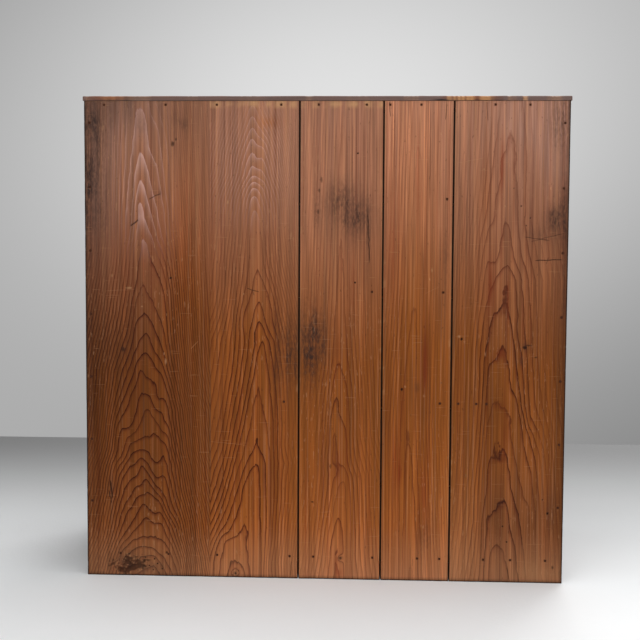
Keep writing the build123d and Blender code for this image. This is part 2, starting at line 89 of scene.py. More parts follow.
class Value:
    """A number that varies over a surface: the output of a shader node, used in sums like a plain number."""

    def __init__(self, tree, socket):
        self.tree = tree
        self.socket = socket

    def math(self, operation, *others):
        return node_value(self.tree, "Math", dict(enumerate((self, *others))), operation=operation)

    def __rsub__(self, other):
        return self.math("MULTIPLY_ADD", -1.0, other)

    __add__ = __radd__ = partialmethod(math, "ADD")
    __sub__ = partialmethod(math, "SUBTRACT")
    __mul__ = __rmul__ = partialmethod(math, "MULTIPLY")
    __truediv__ = partialmethod(math, "DIVIDE")
    __pow__ = partialmethod(math, "POWER")
    size = partialmethod(math, "ABSOLUTE")
    fraction = partialmethod(math, "FRACT")
    nearest = partialmethod(math, "ROUND")
    least = partialmethod(math, "MINIMUM")
    most = partialmethod(math, "MAXIMUM")

    def ramp(self, low, high, start=0.0, end=1.0):
        """Goes smoothly from start to end while this goes from low to high."""
        inputs = dict(enumerate((self, low, high, start, end)))
        return node_value(self.tree, "MapRange", inputs, interpolation_type="SMOOTHSTEP")


def axis_values(tree, coordinates):
    """X, Y and Z of the shader's place on the surface, and that place itself."""
    place = node_value(tree, "TexCoord", {}, coordinates)
    parts = node_value(tree, "SeparateXYZ", {0: place}).socket.node
    return [Value(tree, socket) for socket in parts.outputs], place


class Paint:
    """A material under construction, with the coordinates of the row frame in metres."""

    def __init__(self, name):
        self.material = bpy.data.materials.new(name)
        self.material.use_nodes = True
        self.tree = self.material.node_tree
        self.shader = self.tree.nodes["Principled BSDF"]
        self.xyz, self.place = axis_values(self.tree, "Object")

    def attribute(self, name):
        return node_value(self.tree, "Attribute", {}, "Fac", attribute_name=name)

    def noise(self, scale, detail=2.0, seed=0.0):
        """Random values round a half, with the given number of bumps per metre along each axis."""
        shift = (seed * 7.31, seed * 3.17, seed * 5.83)
        place = node_value(self.tree, "Mapping", {"Scale": scale, "Location": shift, "Vector": self.place})
        return node_value(self.tree, "TexNoise", {"Scale": 1.0, "Detail": detail, "Vector": place})

    def chance(self, value):
        """A random number for each whole number."""
        return node_value(self.tree, "TexWhiteNoise", {"W": value}, noise_dimensions="1D")

    def blend(self, share, first, second, kind="MIX"):
        """The second colour over the first, by a share from 0 to 1. Plain colours go from 0 to 255."""
        first, second = (item if isinstance(item, Value) else colour(*item) for item in (first, second))
        inputs = {0: share, 6: first, 7: second}
        return node_value(self.tree, "Mix", inputs, 2, data_type="RGBA", blend_type=kind)

    def grey(self, level):
        """A value as a colour, to multiply another one by."""
        return node_value(self.tree, "CombineColor", {0: level, 1: level, 2: level})

    def finish(self, base, roughness, height, relief, specular=0.5):
        """Connects the colour, the roughness and a relief of the given depth in metres."""
        bump = node_value(self.tree, "Bump", {"Strength": 1.0, "Distance": relief, "Height": height})
        sockets = {"Base Color": base, "Roughness": roughness, "Specular IOR Level": specular, "Normal": bump}
        for name, item in sockets.items():
            plug(self.tree, self.shader.inputs[name], item)
        return self.material


def latewood(phase, share):
    """(fade, line) of each growth ring: it darkens slowly, and ends in a line with a sharp outer edge."""
    turn = phase.fraction()
    end = turn.ramp(0.0, 0.05, 1.0, 0.0)
    slow = ((turn - 1.0) / (share * 3.5).least(0.7) + 1.0).most(0.0)
    quick = ((turn - 1.0) / share + 1.0).most(0.0)
    return (slow ** 1.6).most(end), (quick ** 1.3).most(end)


def ring_line(phase):
    """Latewood in one value, for boards with a constant share of it."""
    turn = phase.fraction()
    rise = ((turn - 1.0) / LATE_SHARE + 1.0).most(0.0)
    return (rise ** 1.8).most(turn.ramp(0.0, 0.06, 1.0, 0.0))


def aged_cedar():
    """Dry, unfinished cedar of the back boards. The rings, the wear, and painted light and shade come
    from attributes of the mesh.
    """
    paint = Paint("aged_cedar")
    waves = (((70, 70, 9), 1.0, 0.2), ((300, 300, 40), 8.0, 0.1), ((95, 95, 45), 14.0, 0.3))
    wobble = sum((paint.noise(scale, 2.0, seed) - 0.5) * size for scale, seed, size in waves)
    phase = paint.attribute("ring") + wobble
    bloom = paint.attribute("bloom")
    warm = paint.attribute("warm")
    fade, line = latewood(phase, paint.attribute("late"))
    fibre = paint.noise((420, 420, 9), 3.0, 2.0)
    strand = paint.noise((170, 170, 3.2), 3.0, 9.0)
    streak = paint.noise((75, 75, 0.9), 3.0, 3.0)
    cloud = paint.noise((9, 9, 3.5), 3.0, 4.0)
    grain = paint.noise((330, 330, 1.6), 2.0, 10.0).ramp(0.52, 0.68)
    early = paint.blend(warm, (152, 110, 92), (154, 86, 32))
    glow = paint.blend(warm, (176, 124, 98), (176, 99, 42))
    early = paint.blend(streak.ramp(0.38, 0.68) * 0.8, early, glow)
    ruddy = paint.blend(warm, (126, 76, 58), (116, 50, 18))
    dark = paint.blend(warm, (98, 58, 42), (70, 31, 13))
    thread = paint.noise((360, 360, 2.4), 2.0, 13.0).ramp(0.54, 0.68)
    early = paint.blend(grain * 0.58, early, ruddy)
    early = paint.blend(thread * 0.38, early, (190, 132, 92))
    own = paint.chance(phase.nearest())
    strength = paint.attribute("deep") * (0.55 + own * 0.5) * cloud.ramp(0.3, 0.7, 0.7, 1.2) * (0.5 + strand)
    strength = strength.least(1.0) * (1.0 - bloom)
    wood = paint.blend((fade * strength * 1.2).least(1.0), early, ruddy)
    wood = paint.blend(line * strength ** 1.7, wood, dark)
    tip = phase.fraction() ** 2.0 * paint.attribute("tip") * 0.9
    pale = ((fade * 0.35 + line * 0.5) * (0.3 + strand * 0.8) + tip) * bloom
    wood = paint.blend(pale.least(0.9), wood, (208, 162, 148))
    wood = paint.blend(paint.attribute("red") * strand.ramp(0.25, 0.6), wood, (126, 48, 20))
    weave = fibre.ramp(0.3, 0.7) * 0.3 + strand.ramp(0.35, 0.65) * 0.2
    # The light attribute brings painted light by height, with each board's tone and lighter and darker
    # places.
    level = paint.attribute("light") * (weave + cloud * 0.36 + 0.58)
    wood = paint.blend(1.0, wood, paint.grey(level), "MULTIPLY")
    # Soot and grime, with painted shade along the foot and the outer edges of the back.
    speckle = paint.noise((300, 300, 120), 4.0, 5.0)
    smear = paint.noise((80, 80, 16), 4.0, 6.0)
    soot_and_shade = paint.attribute("stain_and_shade") * speckle.ramp(0.3, 0.65, 0.45, 1.0) * smear.ramp(0.25, 0.75, 0.45, 1.15)
    wood = paint.blend(soot_and_shade.least(0.9), wood, (46, 36, 34))
    flecks = paint.noise((260, 260, 90), 2.0, 7.0).ramp(0.68, 0.76)
    wood = paint.blend(flecks * 0.35, wood, (56, 31, 20))
    motes = paint.noise((330, 330, 60), 3.0, 11.0).ramp(0.62, 0.72) * cloud.ramp(0.4, 0.62)
    hairs = paint.noise((24, 24, 480), 2.0, 12.0).ramp(0.68, 0.76)
    wood = paint.blend((motes * 0.34).most(hairs * 0.22), wood, (192, 142, 102))
    # Bare wood, with a painted highlight along the boards' rounded edges.
    bare = paint.attribute("bare") * (0.25 + fibre * 1.3)
    wood = paint.blend(bare.least(1.0), wood, (206, 156, 110))
    # Holes and marks, with painted shade in the open seams, along the foot and along the outer edges.
    wood = paint.blend(paint.attribute("hole").least(1.0), wood, (24, 14, 11))
    rough = 0.56 + fibre * 0.16 - line * 0.1
    return paint.finish(wood, rough, line * 0.5 + fibre * 0.4 + speckle * 0.2, 0.0004, specular=0.11)


def shaded_seam_edges():
    """Edges of the back boards, painted near-black as the shade in the open seams, with flecks of old dust.
    """
    paint = Paint("aged_cedar.edges")
    fibre = paint.noise((420, 420, 9), 3.0, 2.0)
    dust = paint.noise((120, 120, 30), 3.0, 3.0)
    base = paint.blend(fibre.ramp(0.35, 0.7), (20, 13, 10), (46, 27, 18))
    base = paint.blend(dust.ramp(0.6, 0.75) * 0.4, base, (62, 50, 42))
    return paint.finish(base, 0.8 + fibre * 0.1, fibre, 0.0004, specular=0.1)


# Grain of the nodes that hold two boards, as axes along it, across it and through the board
PAIRS = {"_sides": (1, 2, 0), "door_stiles": (2, 0, 1), "door_rails": (0, 2, 1)}
THICKEST = 0.05  # metres; a box that is thicker than this holds two boards
PAIR_INSET = 0.005  # metres from the face of such a box to the middle of its board
LATE_SHARE = 0.3  # of a growth ring
CEDAR_PITCH, PAULOWNIA_PITCH = 0.0048, 0.0095  # metres from ring to ring


def board_axes(name, low, high):
    """Axes of a board, or of both boards of a pair, as (along the grain, across, through)."""
    for ending, axes in PAIRS.items():
        if name.endswith(ending):
            return axes
    return sorted(range(3), key=lambda i: low[i] - high[i])


def cut_rings(paint, axes, low, high, pitch, seed):
    """Phase of the growth rings on all faces of a board that is cut beside the middle of a trunk."""
    random = np.random.default_rng(seed)
    along, across, through = (paint.xyz[i] for i in axes)
    middle = [(low[i] + high[i]) / 2 for i in axes]
    width = high[axes[1]] - low[axes[1]]
    if high[axes[2]] - low[axes[2]] > THICKEST:
        through = (through - middle[2]).size() + middle[2]
        middle[2] = high[axes[2]] - PAIR_INSET
    scale = stretched(axes, 1.6, 7.0)
    bend = paint.noise(scale, 2.0, seed) - 0.5
    fine = paint.noise([s * 5 for s in scale], 2.0, seed + 0.5) - 0.5
    heart = middle[1] + width * random.uniform(-0.25, 0.25)
    depth = random.choice((-1.0, 1.0)) * random.uniform(0.018, 0.032)
    lean = random.uniform(0.02, 0.05) * random.choice((-1.0, 1.0))
    side = across - heart + bend * 0.05
    deep = through - (middle[2] + depth) + (along - middle[0]) * lean + bend * 0.03
    radius = (side * side + deep * deep) ** 0.5
    return radius / pitch + fine * 0.5


def edge_nearness(paint, low, high, reach):
    """1 on the edges of a box and 0 further than the reach from them."""
    gaps = []
    for i in range(3):
        middle, half = (low[i] + high[i]) / 2, (high[i] - low[i]) / 2
        gaps.append((paint.xyz[i] - middle).size() - half)
    first, second, third = gaps
    near = first.least(second).most(first.most(second).least(third))
    return near.ramp(-reach, 0.0)


def stretched(axes, along, across):
    """Bumps per metre along and across the grain, in the order of the row frame's axes."""
    scale = [across] * 3
    scale[axes[0]] = along
    return scale


def dark_cedar(name, low, high, seed, worn_attribute=False):
    """Cedar under thin dark lacquer, rubbed through along the edges and scratched."""
    paint = Paint("dark_lacquered_cedar." + name)
    axes = board_axes(name, low, high)
    line = ring_line(cut_rings(paint, axes, low, high, CEDAR_PITCH, seed))
    fibre = paint.noise(stretched(axes, 10, 420), 3.0, seed)
    streak = paint.noise(stretched(axes, 1.2, 45), 2.0, seed + 1)
    cloud = paint.noise((7, 7, 7), 4.0, seed + 2)
    scuffs = paint.noise((60, 60, 60), 4.0, seed + 3)
    scratch = paint.noise(stretched(axes, 28, 300), 1.0, seed + 4).ramp(0.7, 0.76)
    wood = paint.blend(line * 0.75, (150, 88, 52), (84, 42, 24))
    wood = paint.blend(fibre.ramp(0.35, 0.75) * 0.4, wood, (112, 62, 36))
    film = paint.blend(streak.ramp(0.4, 0.7) * 0.6, (88, 46, 27), (118, 64, 36))
    film = paint.blend(cloud.ramp(0.5, 0.72) * 0.5, film, (60, 36, 25))
    film = paint.blend(line * 0.85, film, (36, 18, 12))
    film = paint.blend(1.0, film, paint.grey(0.7 + fibre * 0.6), "MULTIPLY")
    edge = edge_nearness(paint, low, high, 0.006)
    rubbed = paint.noise((16, 16, 16), 3.0, seed + 5).ramp(0.44, 0.64, 0.06, 1.0)
    worn = edge * edge * 1.5 * scuffs.ramp(0.3, 0.62) * rubbed
    worn = worn.most(scuffs.ramp(0.66, 0.8) * cloud.ramp(0.45, 0.65))
    worn = (worn * (0.55 + fibre * 0.6)).most(scratch * 0.35)
    if worn_attribute:
        worn = worn.most(paint.attribute("bare"))
    base = paint.blend(worn.least(1.0), film, wood)
    if worn_attribute:
        base = paint.blend(paint.attribute("dust") * (0.6 + fibre * 0.6), base, (120, 97, 90))
        base = paint.blend(paint.attribute("fresh").least(1.0), base, (206, 150, 98))
        # Painted shade of the gap under the lip.
        base = paint.blend(paint.attribute("hole").least(1.0), base, (24, 17, 15))
    rough = 0.4 + worn * 0.26 + fibre * 0.1 + cloud * 0.1
    return paint.finish(base, rough, fibre * 0.5 + line * 0.3 - worn * 0.3, 0.0003, specular=0.26)


def planed_wood(name, low, high, seed, early, late, tint, pitch):
    """Bare planed wood: rings, fibres and a little dirt, with painted shade towards the back boards. Cedar
    is lacquered along the chest's front.
    """
    paint = Paint(name)
    axes = board_axes(name, low, high)
    line = ring_line(cut_rings(paint, axes, low, high, pitch, seed))
    fibre = paint.noise(stretched(axes, 11, 480), 3.0, seed)
    streak = paint.noise(stretched(axes, 1.0, 40), 2.0, seed + 1)
    cloud = paint.noise((6, 6, 6), 4.0, seed + 2)
    wood = paint.blend(line * 0.8, early, late)
    wood = paint.blend(streak.ramp(0.42, 0.7) * 0.45, wood, tint)
    edge = edge_nearness(paint, low, high, 0.009)
    grime = edge * cloud.ramp(0.35, 0.6) * 0.45
    wood = paint.blend(grime, wood, (70, 48, 36))
    wood = paint.blend(1.0, wood, paint.grey(0.72 + fibre * 0.3 + cloud * 0.25), "MULTIPLY")
    # Painted shade: parts turn near-black towards and behind the back boards' inner face, where little light
    # reaches.
    inner_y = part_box("back_board_1")[0].y
    painted_back_shade = paint.xyz[1].ramp(inner_y - 0.006, inner_y - 0.0005) * 0.95
    wood = paint.blend(painted_back_shade, wood, (26, 19, 16))
    if name.startswith("plain_cedar"):
        front_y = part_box("right_side")[0].y
        film = paint.blend(streak.ramp(0.4, 0.7), (58, 28, 19), (86, 42, 25))
        reach = paint.xyz[1] + (cloud - 0.5) * 0.012 + (fibre - 0.5) * 0.006
        wood = paint.blend(reach.ramp(front_y + 0.006, front_y + 0.016, 0.92, 0.0), wood, film)
    return paint.finish(wood, 0.6 + fibre * 0.15, fibre * 0.6 + line * 0.3, 0.00025, specular=0.25)


def black_iron(name, rusted):
    """Hammered iron, blackened, with brown rust in its hollows, or rusted all over by a share from 0 to 1."""
    paint = Paint(name)
    hammer = paint.noise((260, 260, 260), 1.0, 1.0)
    grit = paint.noise((1400, 1400, 1400), 3.0, 2.0)
    cloud = paint.noise((45, 45, 45), 4.0, 3.0)
    rust = cloud.ramp(0.5, 0.66) * grit.ramp(0.35, 0.6)
    base = paint.blend(grit.ramp(0.3, 0.7), (44, 42, 41), (64, 60, 57))
    base = paint.blend((rust * 0.75).most(grit.ramp(0.1, 0.5) * rusted), base, (84, 48, 32))
    rough = 0.40 + grit * 0.2 + rust * 0.25 + 0.3 * rusted
    paint.shader.inputs["Metallic"].default_value = 0.7 - 0.5 * rusted
    return paint.finish(base, rough, hammer * 0.8 + grit * 0.25, 0.0006, specular=0.5 - 0.4 * rusted)


# Boards of the back. Rings, stains, painted light and shade, and marks are placed by X and Z in
# millimetres of the row frame.

TILE = 64  # random values along each axis before they repeat


def wander(x, z, size_x, size_z, seed):
    """Smooth random values from -1 to 1 over a board, with features of the given size."""
    knots = np.random.default_rng(seed).uniform(-1, 1, (TILE, TILE))
    place_x, place_z = x / size_x + 8 * TILE, z / size_z + 8 * TILE
    column, row = np.floor(place_x).astype(int), np.floor(place_z).astype(int)
    share_x, share_z = place_x - column, place_z - row
    share_x, share_z = (s * s * (3 - 2 * s) for s in (share_x, share_z))

    def at(i, j):
        return knots[(column + i) % TILE, (row + j) % TILE]

    lower = at(0, 0) * (1 - share_x) + at(1, 0) * share_x
    upper = at(0, 1) * (1 - share_x) + at(1, 1) * share_x
    return lower * (1 - share_z) + upper * share_z


def unit(values):
    """Values held between 0 and 1."""
    return np.clip(values, 0, 1)


def along(z, rows, column=1):
    """A value given at some heights, at each height."""
    return np.interp(z, [row[0] for row in rows], [row[column] for row in rows])


def spot(x, z, place):
    """A soft blot: (x, z, half width, half height, strength)."""
    x0, z0, half_x, half_z, strength = place
    return strength * np.exp(-(((x - x0) / half_x) ** 2) - ((z - z0) / half_z) ** 2)


def spots(x, z, places):
    """The sum of some soft blots."""
    return sum(spot(x, z, place) for place in places)


def link(name, data):
    """A new object in the scene."""
    thing = bpy.data.objects.new(name, data)
    bpy.context.scene.collection.objects.link(thing)
    return thing


def store(mesh, looks):
    """Writes attributes of a mesh's points, which the shaders read."""
    for name, values in looks.items():
        mesh.attributes.new(name, "FLOAT", "POINT").data.foreach_set("value", values.astype(np.float32))


# Look of each back board, in the order of the keys: heights of the arches' tips from the floor up, the middle
# line of the tips as (z, x), the depth of the trunk's heart and the ring pitch as (z, towards +X, towards
# -X), the width of the dark lines, their strength as (z, strength), where they turn pale as (from z, half
# width, level), how they calm down beside the arches as (half width, share), the board's tone as (z, tone),
# whose change with height is painted light, the seed of its random values, and single rings drawn as
# (number, points).
BOARDS = {
    "back_board_1": dict(
        tips=(14, 39, 57, 76, 115, 141, 161, 191, 216, 229, 245, 272, 323, 352, 397, 432, 468, 512, 563,
              642, 700, 762, 809, 897),
        line=((0, 344), (100, 338), (200, 340), (270, 336), (320, 336), (400, 344), (500, 342), (640, 341),
              (760, 346), (900, 347)),
        heart=((0, 40, 40), (300, 24, 24), (560, 20, 22), (640, 14, 18), (900, 14, 18)),
        pitch=((0, 6.2, 5.0), (450, 6.2, 5.0), (640, 5.4, 5.4), (900, 5.2, 5.2)),
        width=2.0,
        strength=((0, 1.5), (470, 1.5), (560, 1.05), (640, 0.6), (900, 0.4)),
        pale=(600, 46, 1.0),
        beside=(52, 0.55),
        tone=((0, 0.76), (120, 0.72), (450, 0.71), (560, 0.75), (700, 0.83), (900, 0.75)),
        seed=11,
        drawn=(
            (16, ((362, 430), (355, 444), (348, 459), (339, 468), (329, 456), (326, 440), (314, 423),
                (307, 411), (302, 394))),
            (15, ((367, 381), (362, 397), (356, 414), (349, 426), (340, 432), (331, 427), (325, 412),
                (316, 399), (308, 390), (302, 370), (296, 351))),
            (14, ((373, 338), (367, 354), (359, 372), (354, 388), (346, 397), (336, 385), (324, 375),
                (319, 357), (312, 342), (299, 334), (296, 318), (290, 290))),
            (13, ((392, 274), (384, 285), (373, 288), (364, 302), (358, 323), (353, 343), (341, 352),
                (330, 345), (321, 324), (309, 314), (302, 299), (293, 281), (290, 260))),
            (12, ((383, 246), (377, 265), (373, 272), (364, 276), (355, 289), (346, 308), (336, 323),
                (324, 307), (312, 287), (304, 276), (295, 267), (290, 241))),
            (11, ((383, 224), (377, 240), (368, 258), (356, 263), (343, 270), (327, 273), (316, 272),
                (307, 259), (298, 246), (294, 229), (289, 204))),
            (10, ((385, 209), (371, 231), (360, 243), (343, 245), (334, 240), (326, 228), (317, 218),
                (310, 225), (306, 235), (300, 213), (293, 189))),
            (9, ((385, 190), (374, 209), (360, 219), (349, 229), (340, 222), (331, 208), (318, 192),
                (312, 191), (304, 196), (298, 176), (292, 155))),
            (8, ((380, 176), (366, 189), (354, 203), (346, 217), (337, 203), (325, 182), (312, 167),
                (303, 156), (296, 133))),
            (7, ((374, 147), (363, 170), (352, 177), (343, 185), (338, 193), (329, 178), (318, 162),
                (306, 142), (297, 120))),
            (6, ((374, 128), (363, 144), (354, 157), (340, 161), (329, 160), (312, 145), (300, 120))),
            (5, ((385, 77), (374, 94), (362, 111), (353, 132), (343, 141), (334, 132), (319, 120),
                (306, 114), (294, 91))),
            (4, ((378, 69), (362, 90), (347, 107), (337, 115), (326, 104), (313, 103), (303, 86),
                (294, 68))),
            (3, ((383, 52), (372, 65), (359, 73), (344, 76), (322, 75), (307, 70), (294, 52), (285, 27),
                (279, 7))),
            (2, ((375, 41), (362, 54), (344, 58), (328, 54), (313, 42), (298, 24), (289, 5))),
            (1, ((359, 29), (350, 37), (336, 40), (322, 39), (310, 23), (300, 5))),
            (17, ((361, 475), (354, 496), (342, 512), (330, 496), (320, 476))),
            (18, ((367, 475), (359, 522), (354, 542), (345, 563), (334, 545), (322, 522), (310, 497),
                (304, 474))),
            (19, ((358, 557), (353, 595), (347, 618), (340, 642), (334, 624), (325, 602), (311, 571),
                (302, 543))),
            (20, ((360, 638), (352, 680), (344, 700), (335, 673), (326, 650), (316, 621))),
            (21, ((363, 650), (361, 681), (360, 709), (354, 739), (346, 762), (336, 730), (328, 696),
                (316, 650), (308, 627))),
            (22, ((367, 667), (364, 696), (361, 730), (359, 762), (354, 788), (345, 809), (336, 785),
                (329, 753), (319, 713), (312, 673), (304, 644))),
            (23, ((378, 650), (376, 702), (371, 753), (366, 788), (360, 839), (357, 874), (347, 896),
                (337, 871), (333, 831), (328, 802), (318, 785), (310, 742), (303, 702), (299, 661),
                (294, 638))),
            (24, ((382, 725), (378, 776), (375, 839), (372, 888), (327, 882), (315, 848), (307, 799),
                (301, 748), (295, 707))),
            (25, ((387, 753), (385, 825), (380, 888), (312, 888), (301, 845), (293, 796))),
        ),
    ),
    "back_board_2": dict(
        tips=(31, 102, 223, 260, 367, 455, 492, 530, 584, 645, 690, 722, 741, 755, 770, 814, 836, 858, 882),
        line=((30, 167), (102, 151), (150, 138), (223, 126), (260, 127), (455, 120), (530, 122), (584, 127),
              (720, 135), (836, 137)),
        heart=((0, 20, 60), (300, 25, 60), (500, 14, 28), (600, 14, 14), (720, 8, 8), (900, 8, 8)),
        pitch=((0, 8.2, 4.8), (460, 8.0, 4.8), (560, 6.5, 5.0), (900, 5.2, 5.0)),
        width=2.0,
        strength=((0, 1.35), (200, 1.25), (480, 1.05), (580, 0.75), (660, 0.4), (900, 0.34)),
        pale=(655, 70, 0.68),
        beside=(45, 0.6),
        tone=((0, 0.98), (120, 0.92), (200, 0.88), (330, 0.87), (620, 0.9), (780, 0.96), (900, 0.95)),
        seed=23,
        drawn=(
            (0, ((186, 1), (182, 20), (167, 31), (153, 23), (149, 2))),
            (1, ((200, 13), (196, 44), (187, 66), (190, 74), (176, 76), (162, 79), (158, 93), (151, 102),
                (144, 95), (146, 70), (142, 39), (139, 2))),
            (1.3, ((150, 120),)),
            (1.6, ((150, 142),)),
            (2, ((211, 25), (204, 61), (197, 76), (179, 90), (167, 116), (159, 144), (153, 175), (142, 206),
                (125, 223), (122, 200), (119, 166), (121, 123), (119, 83), (117, 2))),
            (3, ((213, 53), (200, 85), (185, 110), (170, 150), (159, 190), (145, 230), (127, 260),
                (116, 237), (110, 216), (110, 170), (107, 108), (112, 15))),
            (4, ((202, 100), (185, 134), (173, 175), (162, 215), (150, 249), (142, 292), (131, 338),
                (124, 367), (118, 341), (107, 292), (101, 243), (99, 200), (99, 139), (103, 77),
                (108, 15))),
            (5, ((205, 109), (188, 156), (176, 199), (164, 246), (153, 292), (144, 341), (133, 387),
                (127, 429), (119, 455), (112, 446), (107, 414), (100, 360), (95, 305), (93, 231), (92, 170),
                (96, 77))),
            (6, ((206, 125), (194, 159), (182, 199), (171, 242), (160, 292), (152, 328), (142, 386),
                (134, 429), (128, 466))),
            (7, ((210, 140), (200, 168), (188, 212), (179, 248), (170, 292), (160, 338), (150, 399),
                (142, 456))),
            (8, ((206, 180), (196, 214), (186, 248), (178, 292), (169, 337), (158, 398), (151, 456))),
            (9, ((211, 199), (194, 248), (185, 291), (177, 337), (166, 398), (160, 456))),
            (6, ((134, 475), (128, 484), (121, 492), (113, 481))),
            (7, ((137, 482), (131, 514), (122, 530), (115, 512), (108, 483))),
            (8, ((154, 488), (149, 512), (138, 546), (133, 572), (127, 584), (116, 572), (105, 544),
                (98, 509))),
            (15, ((154, 765), (146, 794), (136, 814), (127, 799), (112, 792), (104, 765), (95, 736))),
            (16, ((158, 782), (146, 819), (137, 836), (127, 822), (115, 819), (105, 788), (96, 756),
                (88, 736))),
        ),
    ),
    "back_board_3": dict(
        tips=(-60, 0, 52, 120, 203, 278, 348, 417, 640, 900, 1200),
        line=((0, -27), (203, -34), (278, -23), (348, -24), (417, -27), (900, -34)),
        heart=((0, 8, 20), (900, 8, 20)),
        pitch=((0, 7.2, 6.8), (450, 6.4, 6.0), (900, 5.8, 5.6)),
        width=2.1,
        strength=((0, 0.9), (150, 0.84), (300, 0.66), (420, 0.62), (560, 0.5), (900, 0.38)),
        pale=(840, 60, 0.4),
        beside=(30, 0.7),
        tone=((0, 1.14), (200, 0.96), (330, 0.89), (440, 0.88), (560, 0.98), (760, 1.11), (900, 1.0)),
        seed=37,
        drawn=(
            (7, ((-2, 240), (-6, 265), (-8, 302), (-13, 346), (-19, 383), (-26, 417), (-37, 396),
                (-45, 362), (-48, 328), (-50, 290), (-52, 241))),
            (6, ((-11, 278), (-13, 302), (-17, 330), (-23, 348), (-29, 337), (-32, 309), (-39, 300),
                (-44, 275), (-46, 228))),
            (5, ((-18, 222), (-18, 253), (-22, 278), (-26, 253), (-30, 212), (-34, 201))),
            (4, ((-26, 165), (-35, 203), (-42, 178), (-45, 134), (-47, 87), (-49, 8))),
            (2, ((-24, 8), (-25, 52), (-32, 8))),
        ),
    ),
    "back_board_4": dict(
        tips=(-140, 20, 299, 520, 820, 1200),
        line=((0, -168), (299, -160), (560, -172), (900, -176)),
        heart=((0, 20, 20), (900, 20, 20)),
        pitch=((0, 5.4, 5.2), (900, 5.2, 5.0)),
        width=2.0,
        strength=((0, 0.56), (420, 0.56), (560, 0.46), (900, 0.4)),
        pale=(860, 60, 0.4),
        beside=(30, 0.7),
        tone=((0, 1.13), (330, 0.85), (480, 0.89), (700, 1.21), (900, 1.26)),
        seed=41,
        drawn=(),
    ),
    "back_board_5": dict(
        tips=(-20, 77, 146, 256, 340, 445, 574, 630, 682, 840, 990),
        line=((0, -332), (146, -334), (256, -336), (340, -332), (445, -334), (574, -345), (682, -340),
              (840, -344), (905, -344)),
        heart=((0, 60, 70), (900, 60, 60)),
        pitch=((0, 5.4, 7.0), (900, 5.4, 6.4)),
        width=2.4,
        strength=((0, 1.0), (420, 0.98), (640, 0.84), (760, 0.58), (900, 0.42)),
        pale=(860, 60, 0.4),
        beside=(36, 0.5),
        tone=((0, 0.82), (120, 0.755), (450, 0.735), (650, 0.92), (900, 1.11)),
        seed=53,
        drawn=(
            (1, ((-316, 4), (-317, 45), (-323, 64), (-331, 77), (-340, 67), (-348, 46), (-353, 5))),
            (2, ((-306, 14), (-307, 45), (-311, 92), (-315, 123), (-324, 140), (-336, 145), (-349, 146),
                (-353, 124), (-357, 99), (-366, 62), (-371, 15))),
            (3, ((-299, 29), (-301, 123), (-308, 170), (-311, 207), (-314, 232), (-328, 240), (-344, 255),
                (-352, 217), (-357, 183), (-365, 152), (-373, 121), (-383, 56), (-387, 15))),
            (4, ((-294, 60), (-298, 138), (-301, 207), (-305, 257), (-309, 306), (-317, 331), (-326, 340),
                (-338, 328), (-344, 328), (-351, 311), (-358, 270), (-368, 223), (-378, 177), (-392, 140),
                (-393, 78), (-396, 15))),
            (5, ((-293, 170), (-302, 294), (-306, 355), (-308, 398), (-312, 421), (-326, 432), (-333, 445),
                (-341, 442), (-350, 411), (-354, 371), (-365, 350), (-371, 319), (-380, 264), (-393, 214),
                (-397, 171))),
            (6, ((-296, 294), (-299, 355), (-301, 417), (-356, 472), (-363, 417), (-369, 371), (-374, 332),
                (-386, 288), (-398, 245))),
            (7, ((-364, 472), (-372, 433), (-377, 371), (-385, 307))),
            (6.3, ((-306, 480), (-308, 503))),
            (7, ((-310, 555),)),
            (7.5, ((-309, 589),)),
            (7.6, ((-301, 555),)),
            (8.4, ((-302, 624),)),
            (6, ((-337, 520), (-338, 550), (-341, 572), (-346, 550), (-348, 520))),
            (8, ((-314, 609), (-322, 614), (-327, 632), (-332, 661), (-340, 680), (-346, 658), (-352, 629),
                (-357, 610), (-366, 590), (-370, 564), (-374, 527), (-376, 481))),
            (9, ((-306, 670), (-314, 683), (-318, 726), (-325, 743), (-329, 794), (-344, 839), (-352, 825),
                (-356, 754), (-362, 669), (-367, 624), (-379, 584), (-385, 527), (-389, 481))),
            (4.5, ((-330, 395),)),
        ),
    ),
}
# Rounds of bending the rings to the drawn ones, as reach in X, reach in Z and slack
BENDS = ((46, 130, 0.6), (20, 55, 0.25), (11, 26, 0.15))
DRAWN_STEP = 14  # points along a drawn ring are about this far apart
DRAWN_GAP = 30  # a drawn ring with its points further apart in X isn't filled in between them

# Colour from grey-pink (0) to warm brown (1), and brightness, as (z, value), the same for all boards.
# The brightness is painted light: lighter at the top, where light from above falls, and towards the
# floor from its bounce. The greying towards the top is painted sheen.
WARMTH_WITH_PAINTED_SHEEN = ((0, 0.6), (40, 0.75), (110, 0.94), (380, 1.04), (500, 0.8), (680, 0.4), (905, 0.19))
PAINTED_LIGHT_BY_HEIGHT = ((0, 1.26), (120, 1.09), (330, 0.97), (480, 0.98), (700, 1.06), (905, 1.16))
FOOT_TAN = ((25, 0.12), (95, 0.0))  # a little paler towards the floor, as (z, value)
SCRAPED = (-112, 216, 891)  # pale scraped band under the lip: from x, to x, from z

# The tables up to SHADES hold soft blots, each as (x, z, half width, half height, strength).

# Swirls round two knots
KNOTS = ((167, 8, 6, 6, 1.1), (-34, 41, 6, 6, 1.6))
